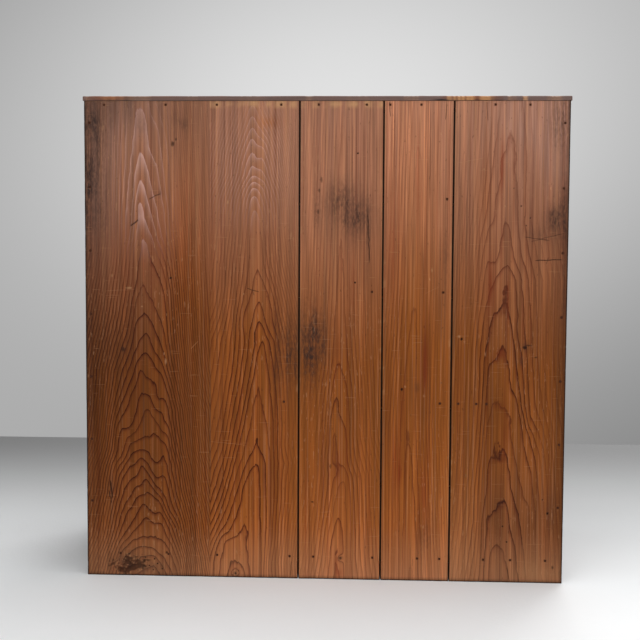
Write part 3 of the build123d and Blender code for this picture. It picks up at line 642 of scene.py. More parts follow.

# Soot and grime, and painted shade: the strips along the foot (0, -1) and along the outermost edges
# (455.5 and -455.5), where the boards meet the floor and the sides
STAINS_AND_PAINTED_SHADE = (
    (80, 440, 22, 85, 0.62), (62, 420, 14, 55, 0.5), (25, 446, 24, 80, 1.0), (14, 452, 12, 30, 0.35),
    (-8, 440, 30, 62, 0.16), (-42, 704, 40, 42, 0.72), (-62, 672, 20, 30, 0.4), (-28, 738, 20, 30, 0.25),
    (-82, 640, 5, 60, 0.45), (14, 700, 7, 60, 0.3), (-428, 690, 17, 22, 0.85), (-446, 706, 10, 40, 0.6),
    (-400, 660, 34, 12, 0.3), (-440, 850, 22, 48, 0.4), (-440, 884, 26, 50, 0.26),
    (-446, 600, 9, 300, 0.35), (92, 869, 9, 16, 0.3), (346, 862, 10, 18, 0.35), (281, 874, 9, 12, 0.38),
    (266, 862, 9, 11, 0.4), (438, 790, 24, 130, 0.75), (430, 866, 26, 40, 0.4), (449, 560, 7, 420, 0.4),
    (416, 690, 18, 60, 0.2), (382, 438, 5, 8, 0.5), (395, 430, 40, 60, 0.16), (407, 168, 5, 20, 0.5),
    (-196, 96, 13, 44, 0.42), (-176, 371, 5, 9, 0.5), (-228, 620, 6, 60, 0.35), (-378, 450, 8, 11, 0.75),
    (-371, 424, 5, 10, 0.5), (372, 24, 52, 30, 0.55), (0, -1, 900, 3.4, 0.85), (330, 16, 34, 12, 0.35),
    (-34, 41, 6, 6, 0.5), (167, 8, 5, 5, 0.7), (310, 735, 10, 8, 0.3), (455.5, 450, 2.6, 900, 0.8),
    (-455.5, 450, 2.6, 900, 0.8), (-440, 40, 14, 30, 0.25), (-430, 140, 14, 40, 0.3),
    (-10, 230, 20, 50, 0.16),
)

# Warmer and greyer regions
TINTS = (
    (262, 560, 42, 330, 0.30), (240, 250, 40, 200, 0.1), (130, 380, 70, 240, 0.15),
    (430, 780, 30, 160, -0.45), (130, 800, 60, 120, 0.05), (-170, 640, 60, 330, 0.22),
    (-440, 840, 40, 90, -0.5), (-280, 300, 30, 400, 0.12), (-300, 740, 14, 80, 0.2),
    (107, 866, 20, 9, 0.35), (-400, 885, 70, 40, -0.5), (-340, 840, 110, 110, -0.1),
    (-340, 100, 110, 120, -0.14), (400, 900, 75, 50, -0.25),
)

# Paler, tan places near the floor
TANS = ((-266, 60, 34, 150, 0.13), (-408, 12, 44, 26, 0.16), (-395, 40, 20, 40, 0.06), (60, 40, 60, 40, 0.05))

# Weathered, greyish corner of the fifth board, with pale rings
GREY_CORNER = (-440, 880, 40, 80, 0.7)

# Redder streaks and areas
REDS = (
    (-190, 430, 5, 60, 0.7), (-138, 230, 5, 60, 0.6), (-146, 207, 4, 22, 0.7), (-191, 176, 4, 44, 0.7),
    (-191, 400, 5, 40, 0.5), (-148, 330, 5, 60, 0.4), (-25, 26, 4, 30, 0.8), (-33, 12, 6, 8, 0.5),
    (-329, 780, 5, 50, 0.6), (378, 18, 30, 14, 0.7), (-26, 214, 4, 40, 0.5), (-338, 640, 5, 70, 0.4),
    (-318, 540, 4, 60, 0.4), (-312, 565, 5, 50, 0.7), (-341, 552, 4, 36, 0.8), (-344, 500, 4, 60, 0.5),
    (-331, 436, 9, 11, 0.7), (-314, 424, 6, 8, 0.5), (-125, 600, 9, 90, 0.35), (-330, 338, 10, 7, 0.5),
    (330, 640, 110, 110, 0.2), (340, 330, 110, 300, 0.12), (130, 250, 60, 150, 0.1),
    (-30, 210, 60, 80, 0.12), (-26, 430, 4, 50, 0.35), (-55, 560, 4, 60, 0.3), (-345, 280, 5, 40, 0.35),
    (-175, 760, 4, 90, 0.3),
)

# Places where the rings are faint
CALMS = (
    (52, 250, 34, 330, -0.6), (14, 240, 24, 240, -0.4), (52, 650, 40, 300, -0.3),
    (-262, 420, 34, 460, -0.35), (-430, 420, 26, 460, -0.35),
)

# Lighter and darker places
SHADES = (
    (340, 300, 140, 300, -0.14), (440, 520, 18, 420, -0.22), (390, 420, 60, 120, -0.1),
    (-445, 520, 18, 460, -0.2), (-60, 420, 60, 160, -0.08), (-180, 820, 40, 140, 0.12),
    (-30, 120, 60, 120, 0.06), (120, 60, 60, 80, 0.1), (-330, 300, 24, 200, -0.06),
    (-426, 660, 30, 40, -0.15), (290, 880, 120, 60, -0.05), (410, 905, 75, 50, -0.22),
    (-330, 60, 22, 130, -0.1), (-440, 110, 20, 110, -0.2), (-266, 80, 32, 130, 0.2),
    (-386, 90, 30, 110, -0.25), (-326, 128, 20, 60, -0.15), (-395, 360, 30, 110, -0.07),
    (342, 150, 40, 110, -0.11), (199, 150, 18, 110, -0.1), (263, 721, 34, 110, 0.2),
)

# Dents, chips and worm holes: x, z, half width, half height, depth, how pale, how dark
PITS = (
    (286, 826, 3.4, 5, 1.3, 0, 0.7), (280, 834, 2.2, 3, 0.9, 0, 0.5), (291, 574, 2.6, 2.2, 1.6, 0, 0.9),
    (371, 555, 7, 2.4, 0.8, 0.9, 0), (301, 416, 2, 6.5, 0.7, 0.9, 0), (304, 430, 1.6, 3.5, 0.6, 0.7, 0),
    (382, 438, 3.4, 4.6, 0.8, 0, 0.6), (403, 578, 2, 4, 0.6, 0.6, 0), (182, 718, 1.8, 4.5, 0.8, 1, 0),
    (346, 520, 2.6, 1.6, 0.5, 0.8, 0), (152, 545, 1.6, 2.4, 0.6, 0.8, 0),
    (-62, 809, 1.9, 1.9, 1.6, 0, 0.95), (-58, 568, 1.9, 1.9, 1.6, 0, 0.95), (-14, 218, 2.4, 5, 0.7, 0, 0.5),
    (20, 149, 3.2, 1.8, 0.9, 0, 0.7), (-148, 367, 2.6, 3, 1.8, 0, 0.95), (-154, 372, 2.4, 2.6, 0.5, 0.7, 0),
    (-202, 592, 1.8, 5, 0.6, 0.8, 0), (-198, 575, 1.4, 3.4, 0.5, 0.7, 0),
    (-377, 448, 4.4, 3.4, 1.5, 0, 0.85), (-384, 452, 6, 1.6, 0.8, 0, 0.6), (-259, 463, 2.6, 2.8, 1.8, 0, 1),
    (-254, 468, 2.6, 3, 0.5, 0.8, 0), (-264, 458, 2, 2.6, 0.5, 0.6, 0), (-425, 134, 2.4, 2.4, 1.8, 0, 0.95),
    (-341, 108, 1.8, 1.8, 1.4, 0, 0.9), (-349, 78, 1.9, 1.9, 1.4, 0, 0.9),
    (-270, 204, 1.6, 5, 0.7, 0.5, 0.4), (-168, 812, 1.4, 3.6, 0.5, 0.7, 0),
    (-216, 845, 1.3, 3, 0.5, 0.6, 0), (-336, 712, 1.6, 2.8, 0.6, 0.8, 0),
    (-296, 780, 1.4, 2.2, 0.5, 0.7, 0), (-420, 745, 1.8, 4, 0.6, 0.5, 0), (-398, 430, 3, 1.6, 0.7, 0, 0.6),
    (-366, 712, 1.5, 2, 1, 0, 0.7), (-383, 690, 1.4, 1.8, 1, 0, 0.7), (-376, 676, 1.4, 1.6, 1, 0, 0.7),
    (-352, 745, 1.3, 1.6, 0.8, 0, 0.5), (-415, 160, 1.4, 1.6, 1.2, 0, 0.8), (6, 760, 2.2, 6, 0.6, 0, 0.6),
    (10, 740, 1.8, 4, 0.6, 0, 0.6), (12, 700, 1.6, 5, 0.6, 0, 0.6), (-190, 355, 2.4, 3.4, 0.5, 0.5, 0),
    (-222, 380, 1.8, 2.4, 0.5, 0.4, 0.3), (300, 46, 2.2, 3.2, 1.5, 0, 0.85), (318, 24, 2, 2, 1.4, 0, 0.9),
    (324, 33, 1.6, 1.6, 1.2, 0, 0.9), (334, 20, 1.8, 1.6, 1.2, 0, 0.9), (309, 14, 1.7, 1.7, 1.2, 0, 0.9),
    (341, 36, 1.5, 1.5, 1.2, 0, 0.9), (326, 12, 1.4, 1.4, 1.2, 0, 0.9), (-436, 30, 2.4, 4, 0.8, 0, 0.6),
    (-34, 41, 3.4, 3, 0.7, 0, 0.5), (167, 8, 2.2, 2.2, 0.8, 0, 0.8),
)

# Cracks, gouges and scratches: from, to, half width, depth, how pale, how dark
SLASHES = (
    ((309, 733), (332, 722), 1.5, 0.9, 0, 0.6), ((352, 685), (367, 671), 2.2, 1.3, 0, 0.75),
    ((409, 186), (405, 150), 1.5, 2.2, 0, 1), ((412, 166), (406, 140), 1, 1.4, 0, 0.9),
    ((253, 439), (238, 455), 1, 0.5, 0.7, 0), ((416, 549), (358, 552), 0.7, 0.3, 0.5, 0),
    ((238, 242), (217, 242), 0.8, 0.4, 0.7, 0), ((217, 263), (146, 256), 0.7, 0.4, 0.55, 0),
    ((146, 556), (122, 549), 1.2, 1, 0, 0.7), ((136, 551), (131, 542), 1, 0.8, 0, 0.6),
    ((-81, 702), (-85, 604), 1, 1.3, 0, 0.85), ((-47, 788), (-49, 722), 0.9, 0.4, 0.55, 0),
    ((-53, 780), (-54, 728), 0.7, 0.4, 0.45, 0), ((-41, 776), (-42, 740), 0.7, 0.3, 0.4, 0),
    ((-62, 760), (-63, 715), 0.7, 0.4, 0.45, 0), ((-196, 905), (-196, 724), 0.8, 0.4, 0, 0.55),
    ((-160, 799), (-194, 797), 0.8, 0.4, 0.65, 0), ((-246, 791), (-296, 801), 0.8, 0.4, 0.65, 0),
    ((-372, 655), (-420, 648), 1, 0.8, 0, 0.65), ((-384, 646), (-446, 662), 0.9, 0.7, 0, 0.55),
    ((-392, 611), (-444, 613), 1.2, 1.2, 0, 0.85), ((-418, 618), (-414, 604), 0.9, 0.8, 0, 0.6),
    ((-268, 640), (-330, 642), 0.7, 0.3, 0.35, 0), ((250, 400), (206, 398), 0.7, 0.3, 0.4, 0),
    ((-20, 160), (-12, 96), 0.8, 0.4, 0, 0.45), ((-215, 560), (-190, 548), 0.8, 0.3, 0.4, 0),
    ((-350, 30), (-356, 0), 0.9, 1.4, 0, 0.8), ((60, 34), (62, 0), 0.8, 1.2, 0, 0.8),
    ((-120, 905), (-122, 876), 0.8, 1, 0, 0.7), ((-226, 905), (-224, 870), 0.8, 1, 0, 0.7),
    ((-300, 905), (-302, 868), 0.8, 1, 0, 0.6),
)

ROT = (372, 22, 46, 26)  # crumbled foot of the first board: x, z, half width, half height
ROT_DEPTH = 3.2
ROT_GRID = 1.5
MOST_WEAR = 6.0  # no mark goes deeper
GRID_X, GRID_Z = 3.4, 4.4
EDGE_STEPS = (0.0, 0.25, 0.6, 1.1, 1.8, 3.0)  # places of the grid's lines beside an edge
PIT_RINGS = ((0.35, 6), (0.65, 9), (0.9, 12), (1.05, 14), (1.4, 14))  # size and number of points round a pit
SLASH_LINES = (-2.0, -1.0, -0.45, 0.0, 0.45, 1.0, 2.0)  # lines of points along a slash, in half widths
SLASH_STEP = 2.2
PIT_CLEAR, SLASH_CLEAR = 1.7, 2.4  # plain points within this many half sizes of a mark make way for its own
EDGE_CLEAR = 0.3  # a mark's own points keep this far from the edges
OUTER_X = 440  # edges further out than this are the outer ones of the whole back
SEAM = 0.1  # an edge this near to the glued seam is that seam
NAIL_HEAD = 6  # points nearer than this belong to one nail's head
CRATER = 3.2  # radius of the dent round a nail's head
MARGIN = 4  # marks this far outside a board still touch it
TINY = 1e-3


def steps(low, high, pitch):
    """Places from low to high about a pitch apart, and closer at both ends."""
    count = max(2, round((high - low - 2 * EDGE_STEPS[-1]) / pitch) + 1)
    inner = np.linspace(low + EDGE_STEPS[-1], high - EDGE_STEPS[-1], count)
    ends = np.array(EDGE_STEPS[:-1])
    return np.concatenate([low + ends, inner, (high - ends)[::-1]])


def nail_heads():
    """Middle of each nail's head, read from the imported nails."""
    points = np.array([v.co for v in nodes["back_nails"].data.vertices]) / MM
    points = points[points[:, 1] > points[:, 1].max() - 0.05][:, (0, 2)]
    heads = []
    while len(points):
        near = np.abs(points - points[0]).max(1) < NAIL_HEAD
        heads.append(points[near].mean(0))
        points = points[~near]
    return heads


def slash_run(slash):
    """(length, direction in X, direction in Z) of a slash."""
    (x0, z0), (x1, z1) = slash[:2]
    length = math.hypot(x1 - x0, z1 - z0)
    return length, (x1 - x0) / length, (z1 - z0) / length


def slash_bend(share, slash):
    """How far a slash strays from its straight line, at each share of its length."""
    (x0, z0), _, half = slash[:3]
    drift = wander(share * slash_run(slash)[0], np.zeros_like(share) + x0, 9, 9, int(abs(x0 * 7 + z0)))
    return drift * half * 0.9 * np.sin(np.pi * unit(share))


def along_slash(x, z, slash):
    """(share of the length, distance from its middle line in half widths) at each point."""
    (x0, z0), _, half = slash[:3]
    length, run_x, run_z = slash_run(slash)
    share = ((x - x0) * run_x + (z - z0) * run_z) / length
    off = (x - x0) * run_z - (z - z0) * run_x + slash_bend(share, slash)
    return share, off / half


def local_points(box, pits, slashes):
    """Extra points that give the marks their shape, and a test for the plain points that they displace."""
    extra = []
    for x, z, half_x, half_z, *_ in pits:
        extra.append((x, z))
        for ring, count in PIT_RINGS:
            for k in range(count):
                turn = 2 * math.pi * (k + ring) / count
                extra.append((x + ring * half_x * math.cos(turn), z + ring * half_z * math.sin(turn)))
    for slash in slashes:
        (x0, z0), _, half = slash[:3]
        length, run_x, run_z = slash_run(slash)
        shares = np.linspace(0, 1, max(4, round(length / SLASH_STEP)))
        for share, bend in zip(shares, slash_bend(shares, slash)):
            for off in SLASH_LINES:
                across = off * half - bend
                extra.append((x0 + share * length * run_x + across * run_z,
                              z0 + share * length * run_z - across * run_x))
    extra = np.array(extra).reshape(-1, 2)
    x_low, x_high, z_low, z_high = box
    inside = (extra[:, 0] > x_low + EDGE_CLEAR) & (extra[:, 0] < x_high - EDGE_CLEAR)
    inside &= (extra[:, 1] > z_low + EDGE_CLEAR) & (extra[:, 1] < z_high - EDGE_CLEAR)

    def displaced(x, z):
        gone = np.zeros(len(x), bool)
        for x0, z0, half_x, half_z, *_ in pits:
            gone |= ((x - x0) / half_x) ** 2 + ((z - z0) / half_z) ** 2 < PIT_CLEAR**2
        for slash in slashes:
            share, off = along_slash(x, z, slash)
            gone |= (np.abs(off) < SLASH_CLEAR) & (share > -0.02) & (share < 1.02)
        return gone

    return extra[inside], displaced


def sheet_points(box, pits, slashes, rough_patch):
    """Points of a board's outer face: a plain grid, and finer ones at the edges and marks."""
    x_low, x_high, z_low, z_high = box
    columns, rows = steps(x_low, x_high, GRID_X), steps(z_low, z_high, GRID_Z)
    x, z = (a.ravel() for a in np.meshgrid(columns, rows))
    extra, displaced = local_points(box, pits, slashes)
    on_edge = (x == x_low) | (x == x_high) | (z == z_low) | (z == z_high)
    keep = on_edge | ~displaced(x, z)
    points = [np.column_stack([x, z])[keep], extra]
    if rough_patch:
        x0, z0, half_x, half_z = rough_patch
        columns = np.arange(x0 - half_x, x0 + half_x, ROT_GRID)
        rows = np.arange(z_low + 0.7, z0 + half_z, ROT_GRID)
        x, z = (a.ravel() for a in np.meshgrid(columns, rows))
        points.append(np.column_stack([x + 0.31, z + 0.17]))
    return np.concatenate(points)


def edge_drop(gap, radius):
    """How far a rounded edge falls away at a distance from the edge."""
    inside = np.clip(radius - gap, 0, radius)
    return radius - np.sqrt(np.maximum(radius**2 - inside**2, 0))


def surface(x, z, box, pits, slashes, heads, rough_patch, seed):
    """Depth of the wear at each point, with how pale and how dark it is there."""
    x_low, x_high, z_low, z_high = box
    glued_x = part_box("back_board_1")[0].x / MM  # the only tight seam
    depth = 0.12 * (1 + wander(x, z, 60, 260, seed + 1)) + 0.05 * (1 + wander(x, z, 9, 60, seed + 2))
    pale, dark = np.zeros_like(x), np.zeros_like(x)
    upright = ((x - x_low, z, 3, x_low), (x_high - x, z, 4, x_high))
    level = ((z - z_low, x, 5, None), (z_high - z, x, 6, None))
    for gap, run, number, place in upright + level:
        if place is not None and abs(place - glued_x) < SEAM:
            dark = np.maximum(dark, 0.5 * unit(1 - gap / 0.6) * np.clip((470 - z) / 160, 0.1, 1))
            continue
        still = np.zeros_like(run) + number
        radius = 1.0 + 0.5 * wander(run, still, 45, 1, seed + number)
        chips = np.maximum(wander(run, still, 11, 1, seed + 10 + number) - 0.7, 0) * 4.2
        depth = np.maximum(depth, edge_drop(gap, radius + chips))
        # Pale band along each edge: bare wood where it is chipped, and a painted highlight on the rounded
        # edge.
        worn = unit(1 - np.abs(gap - 1.5) / (1.1 + chips))
        pale = np.maximum(pale, worn * (0.12 + 0.3 * np.minimum(chips, 1)))
        # Painted shade: near-black within about a millimetre of each edge but the glued seam.
        dark = np.maximum(dark, 0.95 * unit(1.2 - gap / 0.8))
        if place is not None and abs(place) > OUTER_X:
            # Painted shade along the outer edges of the back, where the boards meet the sides.
            pale = pale * unit(gap / 4)
            ragged = 2.2 + 0.9 * wander(run, still, 30, 1, seed + 40)
            dark = np.maximum(dark, 0.8 * unit(1.3 - gap / ragged))
    rough = wander(x, z, 1.7, 1.7, seed + 20)
    for x0, z0, half_x, half_z, deep, light, black in pits:
        inside = ((x - x0) / half_x) ** 2 + ((z - z0) / half_z) ** 2
        inside = unit(1 - inside * (1 + 0.3 * rough))
        depth += deep * inside**0.7
        pale = np.maximum(pale, 0.55 * light * inside**0.7)
        dark = np.maximum(dark, black * inside**0.4)
    for slash in slashes:
        deep, light, black = slash[3:]
        share, off = along_slash(x, z, slash)
        taper = unit(np.minimum(share, 1 - share) * 9) * (share > 0) * (share < 1)
        inside = unit(1 - np.abs(off)) * taper
        depth += deep * inside * (0.75 + 0.25 * rough)
        pale = np.maximum(pale, 0.4 * light * np.sqrt(inside))
        dark = np.maximum(dark, black * np.sqrt(inside))
    for x0, z0 in heads:
        reach = np.hypot(x - x0, z - z0)
        depth += unit(CRATER - reach)
        dark = np.maximum(dark, 0.4 * unit((3.0 - reach) / 1.4))
    if rough_patch:
        x0, z0, half_x, half_z = rough_patch
        inside = unit(1 - ((x - x0) / half_x) ** 2 - ((z - z0) / half_z) ** 2)
        eaten = wander(x, z, 13, 6, seed + 30) + 0.6 * wander(x, z, 4, 2.6, seed + 31) + 1.5 * inside - 0.75
        eaten = unit(eaten) * unit(inside * 3)
        depth += ROT_DEPTH * eaten
        dark = np.maximum(dark, np.clip(eaten * 1.1, 0, 0.6))
        pale = np.maximum(pale, 0.5 * unit(inside * 2) * unit(1 - np.abs(eaten - 0.08) / 0.1))
    return np.minimum(depth, MOST_WEAR), pale, dark


def plain_rings(x, z, board):
    """Rings of a flat-sawn board: arches with their tips on a middle line, and upright lines beside them."""
    middle = along(z, board["line"])
    aside = np.abs(x - middle)
    heart, pitch = (np.where(x > middle, along(z, rows, 1), along(z, rows, 2))
                    for rows in (board["heart"], board["pitch"]))
    tips = np.array(board["tips"], float)
    climb = np.interp(z, tips, np.arange(len(tips)))
    above = np.maximum(z - tips[-1], 0) / (tips[-1] - tips[-2])
    below = np.maximum(tips[0] - z, 0) / (tips[1] - tips[0])
    climb += above - below
    return (np.sqrt(aside**2 + heart**2) - heart) / pitch + climb


def nearness(x, z, points, reach_x, reach_z):
    """How near each place is to each of some points, from 0 to 1."""
    off_x = (x[:, None] - points[:, 0]) / reach_x
    off_z = (z[:, None] - points[:, 1]) / reach_z
    return np.exp(-(off_x**2) - off_z**2)


def ring_bends(board):
    """Weights that bend the plain rings to the drawn ones, in rounds of shorter and shorter reach."""
    points, numbers = [], []
    for number, drawn in board["drawn"]:
        for (x0, z0), (x1, z1) in zip(drawn, drawn[1:] + drawn[-1:]):
            count = max(1, int(math.hypot(2 * (x1 - x0), z1 - z0) // DRAWN_STEP))
            if abs(x1 - x0) > DRAWN_GAP:
                count = 1
            for share in np.arange(count) / count:
                points.append((x0 + (x1 - x0) * share, z0 + (z1 - z0) * share))
                numbers.append(number)
    if not points:
        return []
    points = np.array(points, float)
    x, z = points.T
    missing = np.array(numbers) - plain_rings(x, z, board)
    bends = []
    for reach_x, reach_z, slack in BENDS:
        near = nearness(x, z, points, reach_x, reach_z)
        weights = np.linalg.solve(near + slack * np.eye(len(points)), missing)
        missing = missing - near @ weights
        bends.append((points, weights, reach_x, reach_z))
    return bends


def ring_phase(x, z, board, bends):
    """Number of the growth ring at each point, with its fraction."""
    phase = plain_rings(x, z, board)
    for points, weights, reach_x, reach_z in bends:
        phase += nearness(x, z, points, reach_x, reach_z) @ weights
    seed = board["seed"]
    phase += 0.07 * wander(x, z, 24, 260, seed + 1) + 0.05 * wander(x, z, 9, 30, seed + 2)
    return phase + spots(x, z, KNOTS)


def board_look(x, z, board):
    """Attributes of the aged cedar's shader at each point of a board, and how bare it is there."""
    bends = ring_bends(board)
    phase = ring_phase(x, z, board, bends)
    slope_x = ring_phase(x + 1, z, board, bends) - phase
    slope_z = ring_phase(x, z + 1, board, bends) - phase
    aside = np.abs(x - along(z, board["line"]))
    pale_from, pale_half, level = board["pale"]
    bloom = level * unit((z - pale_from) / 90) * unit(1.6 - aside / pale_half)
    bloom *= np.interp(z, (820, 890), (1.0, 0.45))
    arch_half, calm = board["beside"]
    deep = along(z, board["strength"]) * np.interp(aside, (arch_half, 2 * arch_half), (1.0, calm))
    for place in CALMS:
        deep = deep * (1 + spot(x, z, place))
    look = {
        "ring": phase,
        "late": np.clip(board["width"] * np.hypot(slope_x, slope_z), 0.05, 0.5),
        "deep": deep,
        "bloom": np.maximum(bloom, spot(x, z, GREY_CORNER)),
        "warm": np.clip(along(z, WARMTH_WITH_PAINTED_SHEEN) + spots(x, z, TINTS), 0, 1.2),
        "light": along(z, PAINTED_LIGHT_BY_HEIGHT) * along(z, board["tone"]) + spots(x, z, SHADES),
        "stain_and_shade": unit(spots(x, z, STAINS_AND_PAINTED_SHADE)),
        "tip": level * np.exp(-((aside / 12) ** 2)),
        "red": np.clip(spots(x, z, REDS), 0, 0.8),
    }
    from_x, to_x, from_z = SCRAPED
    scraped = unit((z - from_z) / 6) * unit(0.35 + wander(x, z, 7, 12, 71)) * (x > from_x) * (x < to_x)
    return look, 0.75 * scraped + along(z, FOOT_TAN) + spots(x, z, TANS)


def turns_left(flat, triangle):
    """True if a triangle's corners run counter-clockwise in X and Z."""
    a, b, c = (flat[i] for i in triangle)
    return (b[0] - a[0]) * (c[1] - a[1]) - (b[1] - a[1]) * (c[0] - a[0]) > 0


def by_place(chosen, place):
    """Numbers of the chosen points, in order of place."""
    numbers = np.flatnonzero(chosen)
    return [int(i) for i in numbers[np.argsort(place[numbers])]]


def back_board(name, materials):
    """A worn board in place of a plain one, with a carved outer face, rounded edges and a flat rear."""
    low, high = (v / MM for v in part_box(name))
    box = (low.x, high.x, low.z, high.z)
    board = BOARDS[name]

    def here(x, z):
        return low.x - MARGIN < x < high.x + MARGIN and low.z - MARGIN < z < high.z + MARGIN

    pits = [p for p in PITS if here(p[0], p[1])]
    slashes = [s for s in SLASHES if here(*s[0]) and here(*s[1])]
    heads = [h for h in nail_heads() if here(*h)]
    craters = [(x, z, CRATER, CRATER) for x, z in heads]
    patch = ROT if here(ROT[0], ROT[1]) else None
    points = sheet_points(box, pits + craters, slashes, patch)
    flat, _, triangles, *_ = delaunay_2d_cdt([Vector(p) for p in points], [], [], 0, 1e-4)
    flat = np.array([tuple(p) for p in flat])
    x, z = flat[:, 0], flat[:, 1]
    depth, pale, dark = surface(x, z, box, pits, slashes, heads, patch, board["seed"])
    look, bare = board_look(x, z, board)
    look["bare"] = np.maximum(pale, bare)
    # Painted shade: near-black along the foot, where the board meets the floor, and along the outer edges of
    # the back, where it meets the sides.
    rim = np.minimum((z - low.z) / 4.0, (max(-low.x, high.x, OUTER_X) + 0.5 - np.abs(x)) / 5.0)
    look["hole"] = np.maximum(dark, 0.9 * unit(1.4 - 1.4 * rim))

    verts = [(px, high.y - d, pz) for px, pz, d in zip(x, z, depth)]
    faces = [tuple(reversed(t)) if turns_left(flat, t) else tuple(t) for t in triangles]
    sheet_count = len(faces)
    corner = len(verts)
    verts += [(low.x, low.y, low.z), (high.x, low.y, low.z), (high.x, low.y, high.z), (low.x, low.y, high.z)]
    bottom, top = (by_place(np.abs(z - edge) < TINY, x) for edge in (low.z, high.z))
    left, right = (by_place(np.abs(x - edge) < TINY, z) for edge in (low.x, high.x))
    faces += [
        (corner, corner + 1, *bottom[::-1]),
        (corner + 2, corner + 3, *top),
        (corner + 3, corner, *left),
        (corner + 1, corner + 2, *right[::-1]),
        (corner, corner + 3, corner + 2, corner + 1),
    ]
    mesh = bpy.data.meshes.new("worn_" + name)
    mesh.from_pydata([tuple(c * MM for c in v) for v in verts], [], faces)
    numbers = np.arange(len(faces))
    on_wall = (numbers >= sheet_count) & (numbers < len(faces) - 1)
    mesh.polygons.foreach_set("use_smooth", numbers < sheet_count)
    mesh.polygons.foreach_set("material_index", on_wall.astype(np.int32))
    store(mesh, {key: np.append(values, np.full(4, values.mean())) for key, values in look.items()})
    for material in materials:
        mesh.materials.append(material)
    piece = link("worn_" + name, mesh)
    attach(piece, "carcass")
    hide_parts(name)


# Top board, with its rear lip worn and chipped. Places are X in millimetres.

LIP = 9  # how far the worn zone reaches from the rear and from the top
CUT_ENDS, CUT_STEP = (-452, 453), 4  # cuts across the lip
CUTS_FROM_REAR, CUTS_FROM_TOP = (2.6, 4.5, 7.5, 12.0), (3.4, 5.5, 8.0)
TAN_STRETCHES = ((404, 46, 1.0), (-272, 60, 1.3))  # middle, half length, strength of bare wood on the lip
# Painted shade of an open gap under the lip, on the lower part of its rear face
PAINTED_GAP_SHADE = (-215, 20)  # under the lip: middle, half length

# Chips in the rear lip: x, half length, how far in, how far down, how fresh
LIP_CHIPS = (
    (-258, 20, 1.2, 1.6, 0.7), (-300, 14, 1, 1.2, 0.6), (-234, 10, 1.2, 1.4, 0.55), (-369, 5, 3, 5, 0.5),
    (-345, 8, 1, 1.6, 0.2), (400, 24, 0.9, 1, 0.15), (352, 26, 0.8, 0.9, 0.12), (-424, 14, 1.4, 1.6, 0.2),
    (140, 30, 0.7, 0.8, 0.05), (-60, 22, 0.9, 0.8, 0.05), (30, 8, 1.4, 1.2, 0.1), (-160, 16, 0.8, 1, 0.1),
    (446, 8, 1.6, 1.8, 0.1), (250, 14, 0.9, 0.8, 0.05),
)


def lip_wear(x):
    """How far in and down the lip is worn at each X, with how fresh the break is."""
    still = np.zeros_like(x)
    inward = 0.35 + 0.3 * wander(x, still, 30, 1, 81) + 0.15 * wander(x, still, 6, 1, 82)
    down = 0.25 + 0.25 * wander(x, still, 24, 1, 83)
    fresh = np.zeros_like(x)
    jag = 0.7 + 0.5 * wander(x, still, 4, 1, 84)
    for x0, half, into, below, new in LIP_CHIPS:
        inside = unit(1 - ((x - x0) / half) ** 2) ** 0.6 * jag
        inward = np.maximum(inward, into * inside)
        down = np.maximum(down, below * inside)
        fresh = np.maximum(fresh, new * unit(inside * 1.5))
    return np.clip(inward, 0, 4), np.clip(down, 0, 6), fresh


def top_board(material):
    """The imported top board, cut finer along its rear lip, with that lip worn and chipped."""
    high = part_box("top_board")[1]
    mesh = bpy.data.meshes.new("worn_top_board")
    bm = bmesh.new()
    bm.from_mesh(nodes["top_board"].data)
    bmesh.ops.remove_doubles(bm, verts=bm.verts, dist=1e-6)
    cuts = [(Vector((x * MM, 0, 0)), Vector((1, 0, 0))) for x in np.arange(*CUT_ENDS, CUT_STEP)]
    cuts += [(Vector((0, high.y - gap * MM, 0)), Vector((0, 1, 0))) for gap in CUTS_FROM_REAR]
    cuts += [(Vector((0, 0, high.z - gap * MM)), Vector((0, 0, 1))) for gap in CUTS_FROM_TOP]
    for place, normal in cuts:
        whole = bm.verts[:] + bm.edges[:] + bm.faces[:]
        bmesh.ops.bisect_plane(bm, geom=whole, dist=1e-7, plane_co=place, plane_no=normal)
    bm.to_mesh(mesh)
    bm.free()
    points = np.empty(len(mesh.vertices) * 3)
    mesh.vertices.foreach_get("co", points)
    points = points.reshape(-1, 3) / MM
    x, y, z = points.T
    inward, down, fresh = lip_wear(x)
    from_rear = high.y / MM - y
    from_top = high.z / MM - z
    rear = unit(1 - from_rear / LIP) * (from_top < LIP)
    upper = unit(1 - from_top / LIP)
    points[:, 1] -= inward * unit(1 - from_rear / 4) * (0.35 + 0.65 * upper) * (rear > 0)
    points[:, 2] -= down * unit(1 - from_rear / 5) * upper * (rear > 0)
    mesh.vertices.foreach_set("co", (points * MM).ravel())
    tan = sum(level * unit(1 - np.abs(x - x0) / half) ** 0.5 for x0, half, level in TAN_STRETCHES)
    bare = rear * (0.1 + 0.9 * tan) * (0.7 + 0.3 * wander(x, z, 7, 3, 85)) * (from_top < 6)
    # Painted shade of the gap under the lip.
    gap = unit(1 - np.abs(x - PAINTED_GAP_SHADE[0]) / PAINTED_GAP_SHADE[1]) * (from_top > 6.5) * (rear > 0)
    dust = np.interp(x, (-140, 60), (0.95, 0.75)) * (from_rear < 3) * (from_top < LIP)
    dust *= 1 - 0.8 * np.minimum(tan, 1)
    fresh = fresh * (rear > 0.25) * (from_top < 8.2)
    store(mesh, {"bare": bare, "fresh": fresh, "hole": gap, "dust": dust})
    mesh.materials.append(material)
    piece = link("worn_top_board", mesh)
    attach(piece, "carcass")
    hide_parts("top_board")


# Planed woods: colours of the early wood, the late wood and the streaks, and the ring pitch
PLANED = {
    "pale_paulownia": ((205, 172, 128), (166, 128, 86), (190, 152, 106), PAULOWNIA_PITCH),
    "plain_cedar": ((186, 126, 80), (122, 70, 42), (164, 98, 58), CEDAR_PITCH),
}


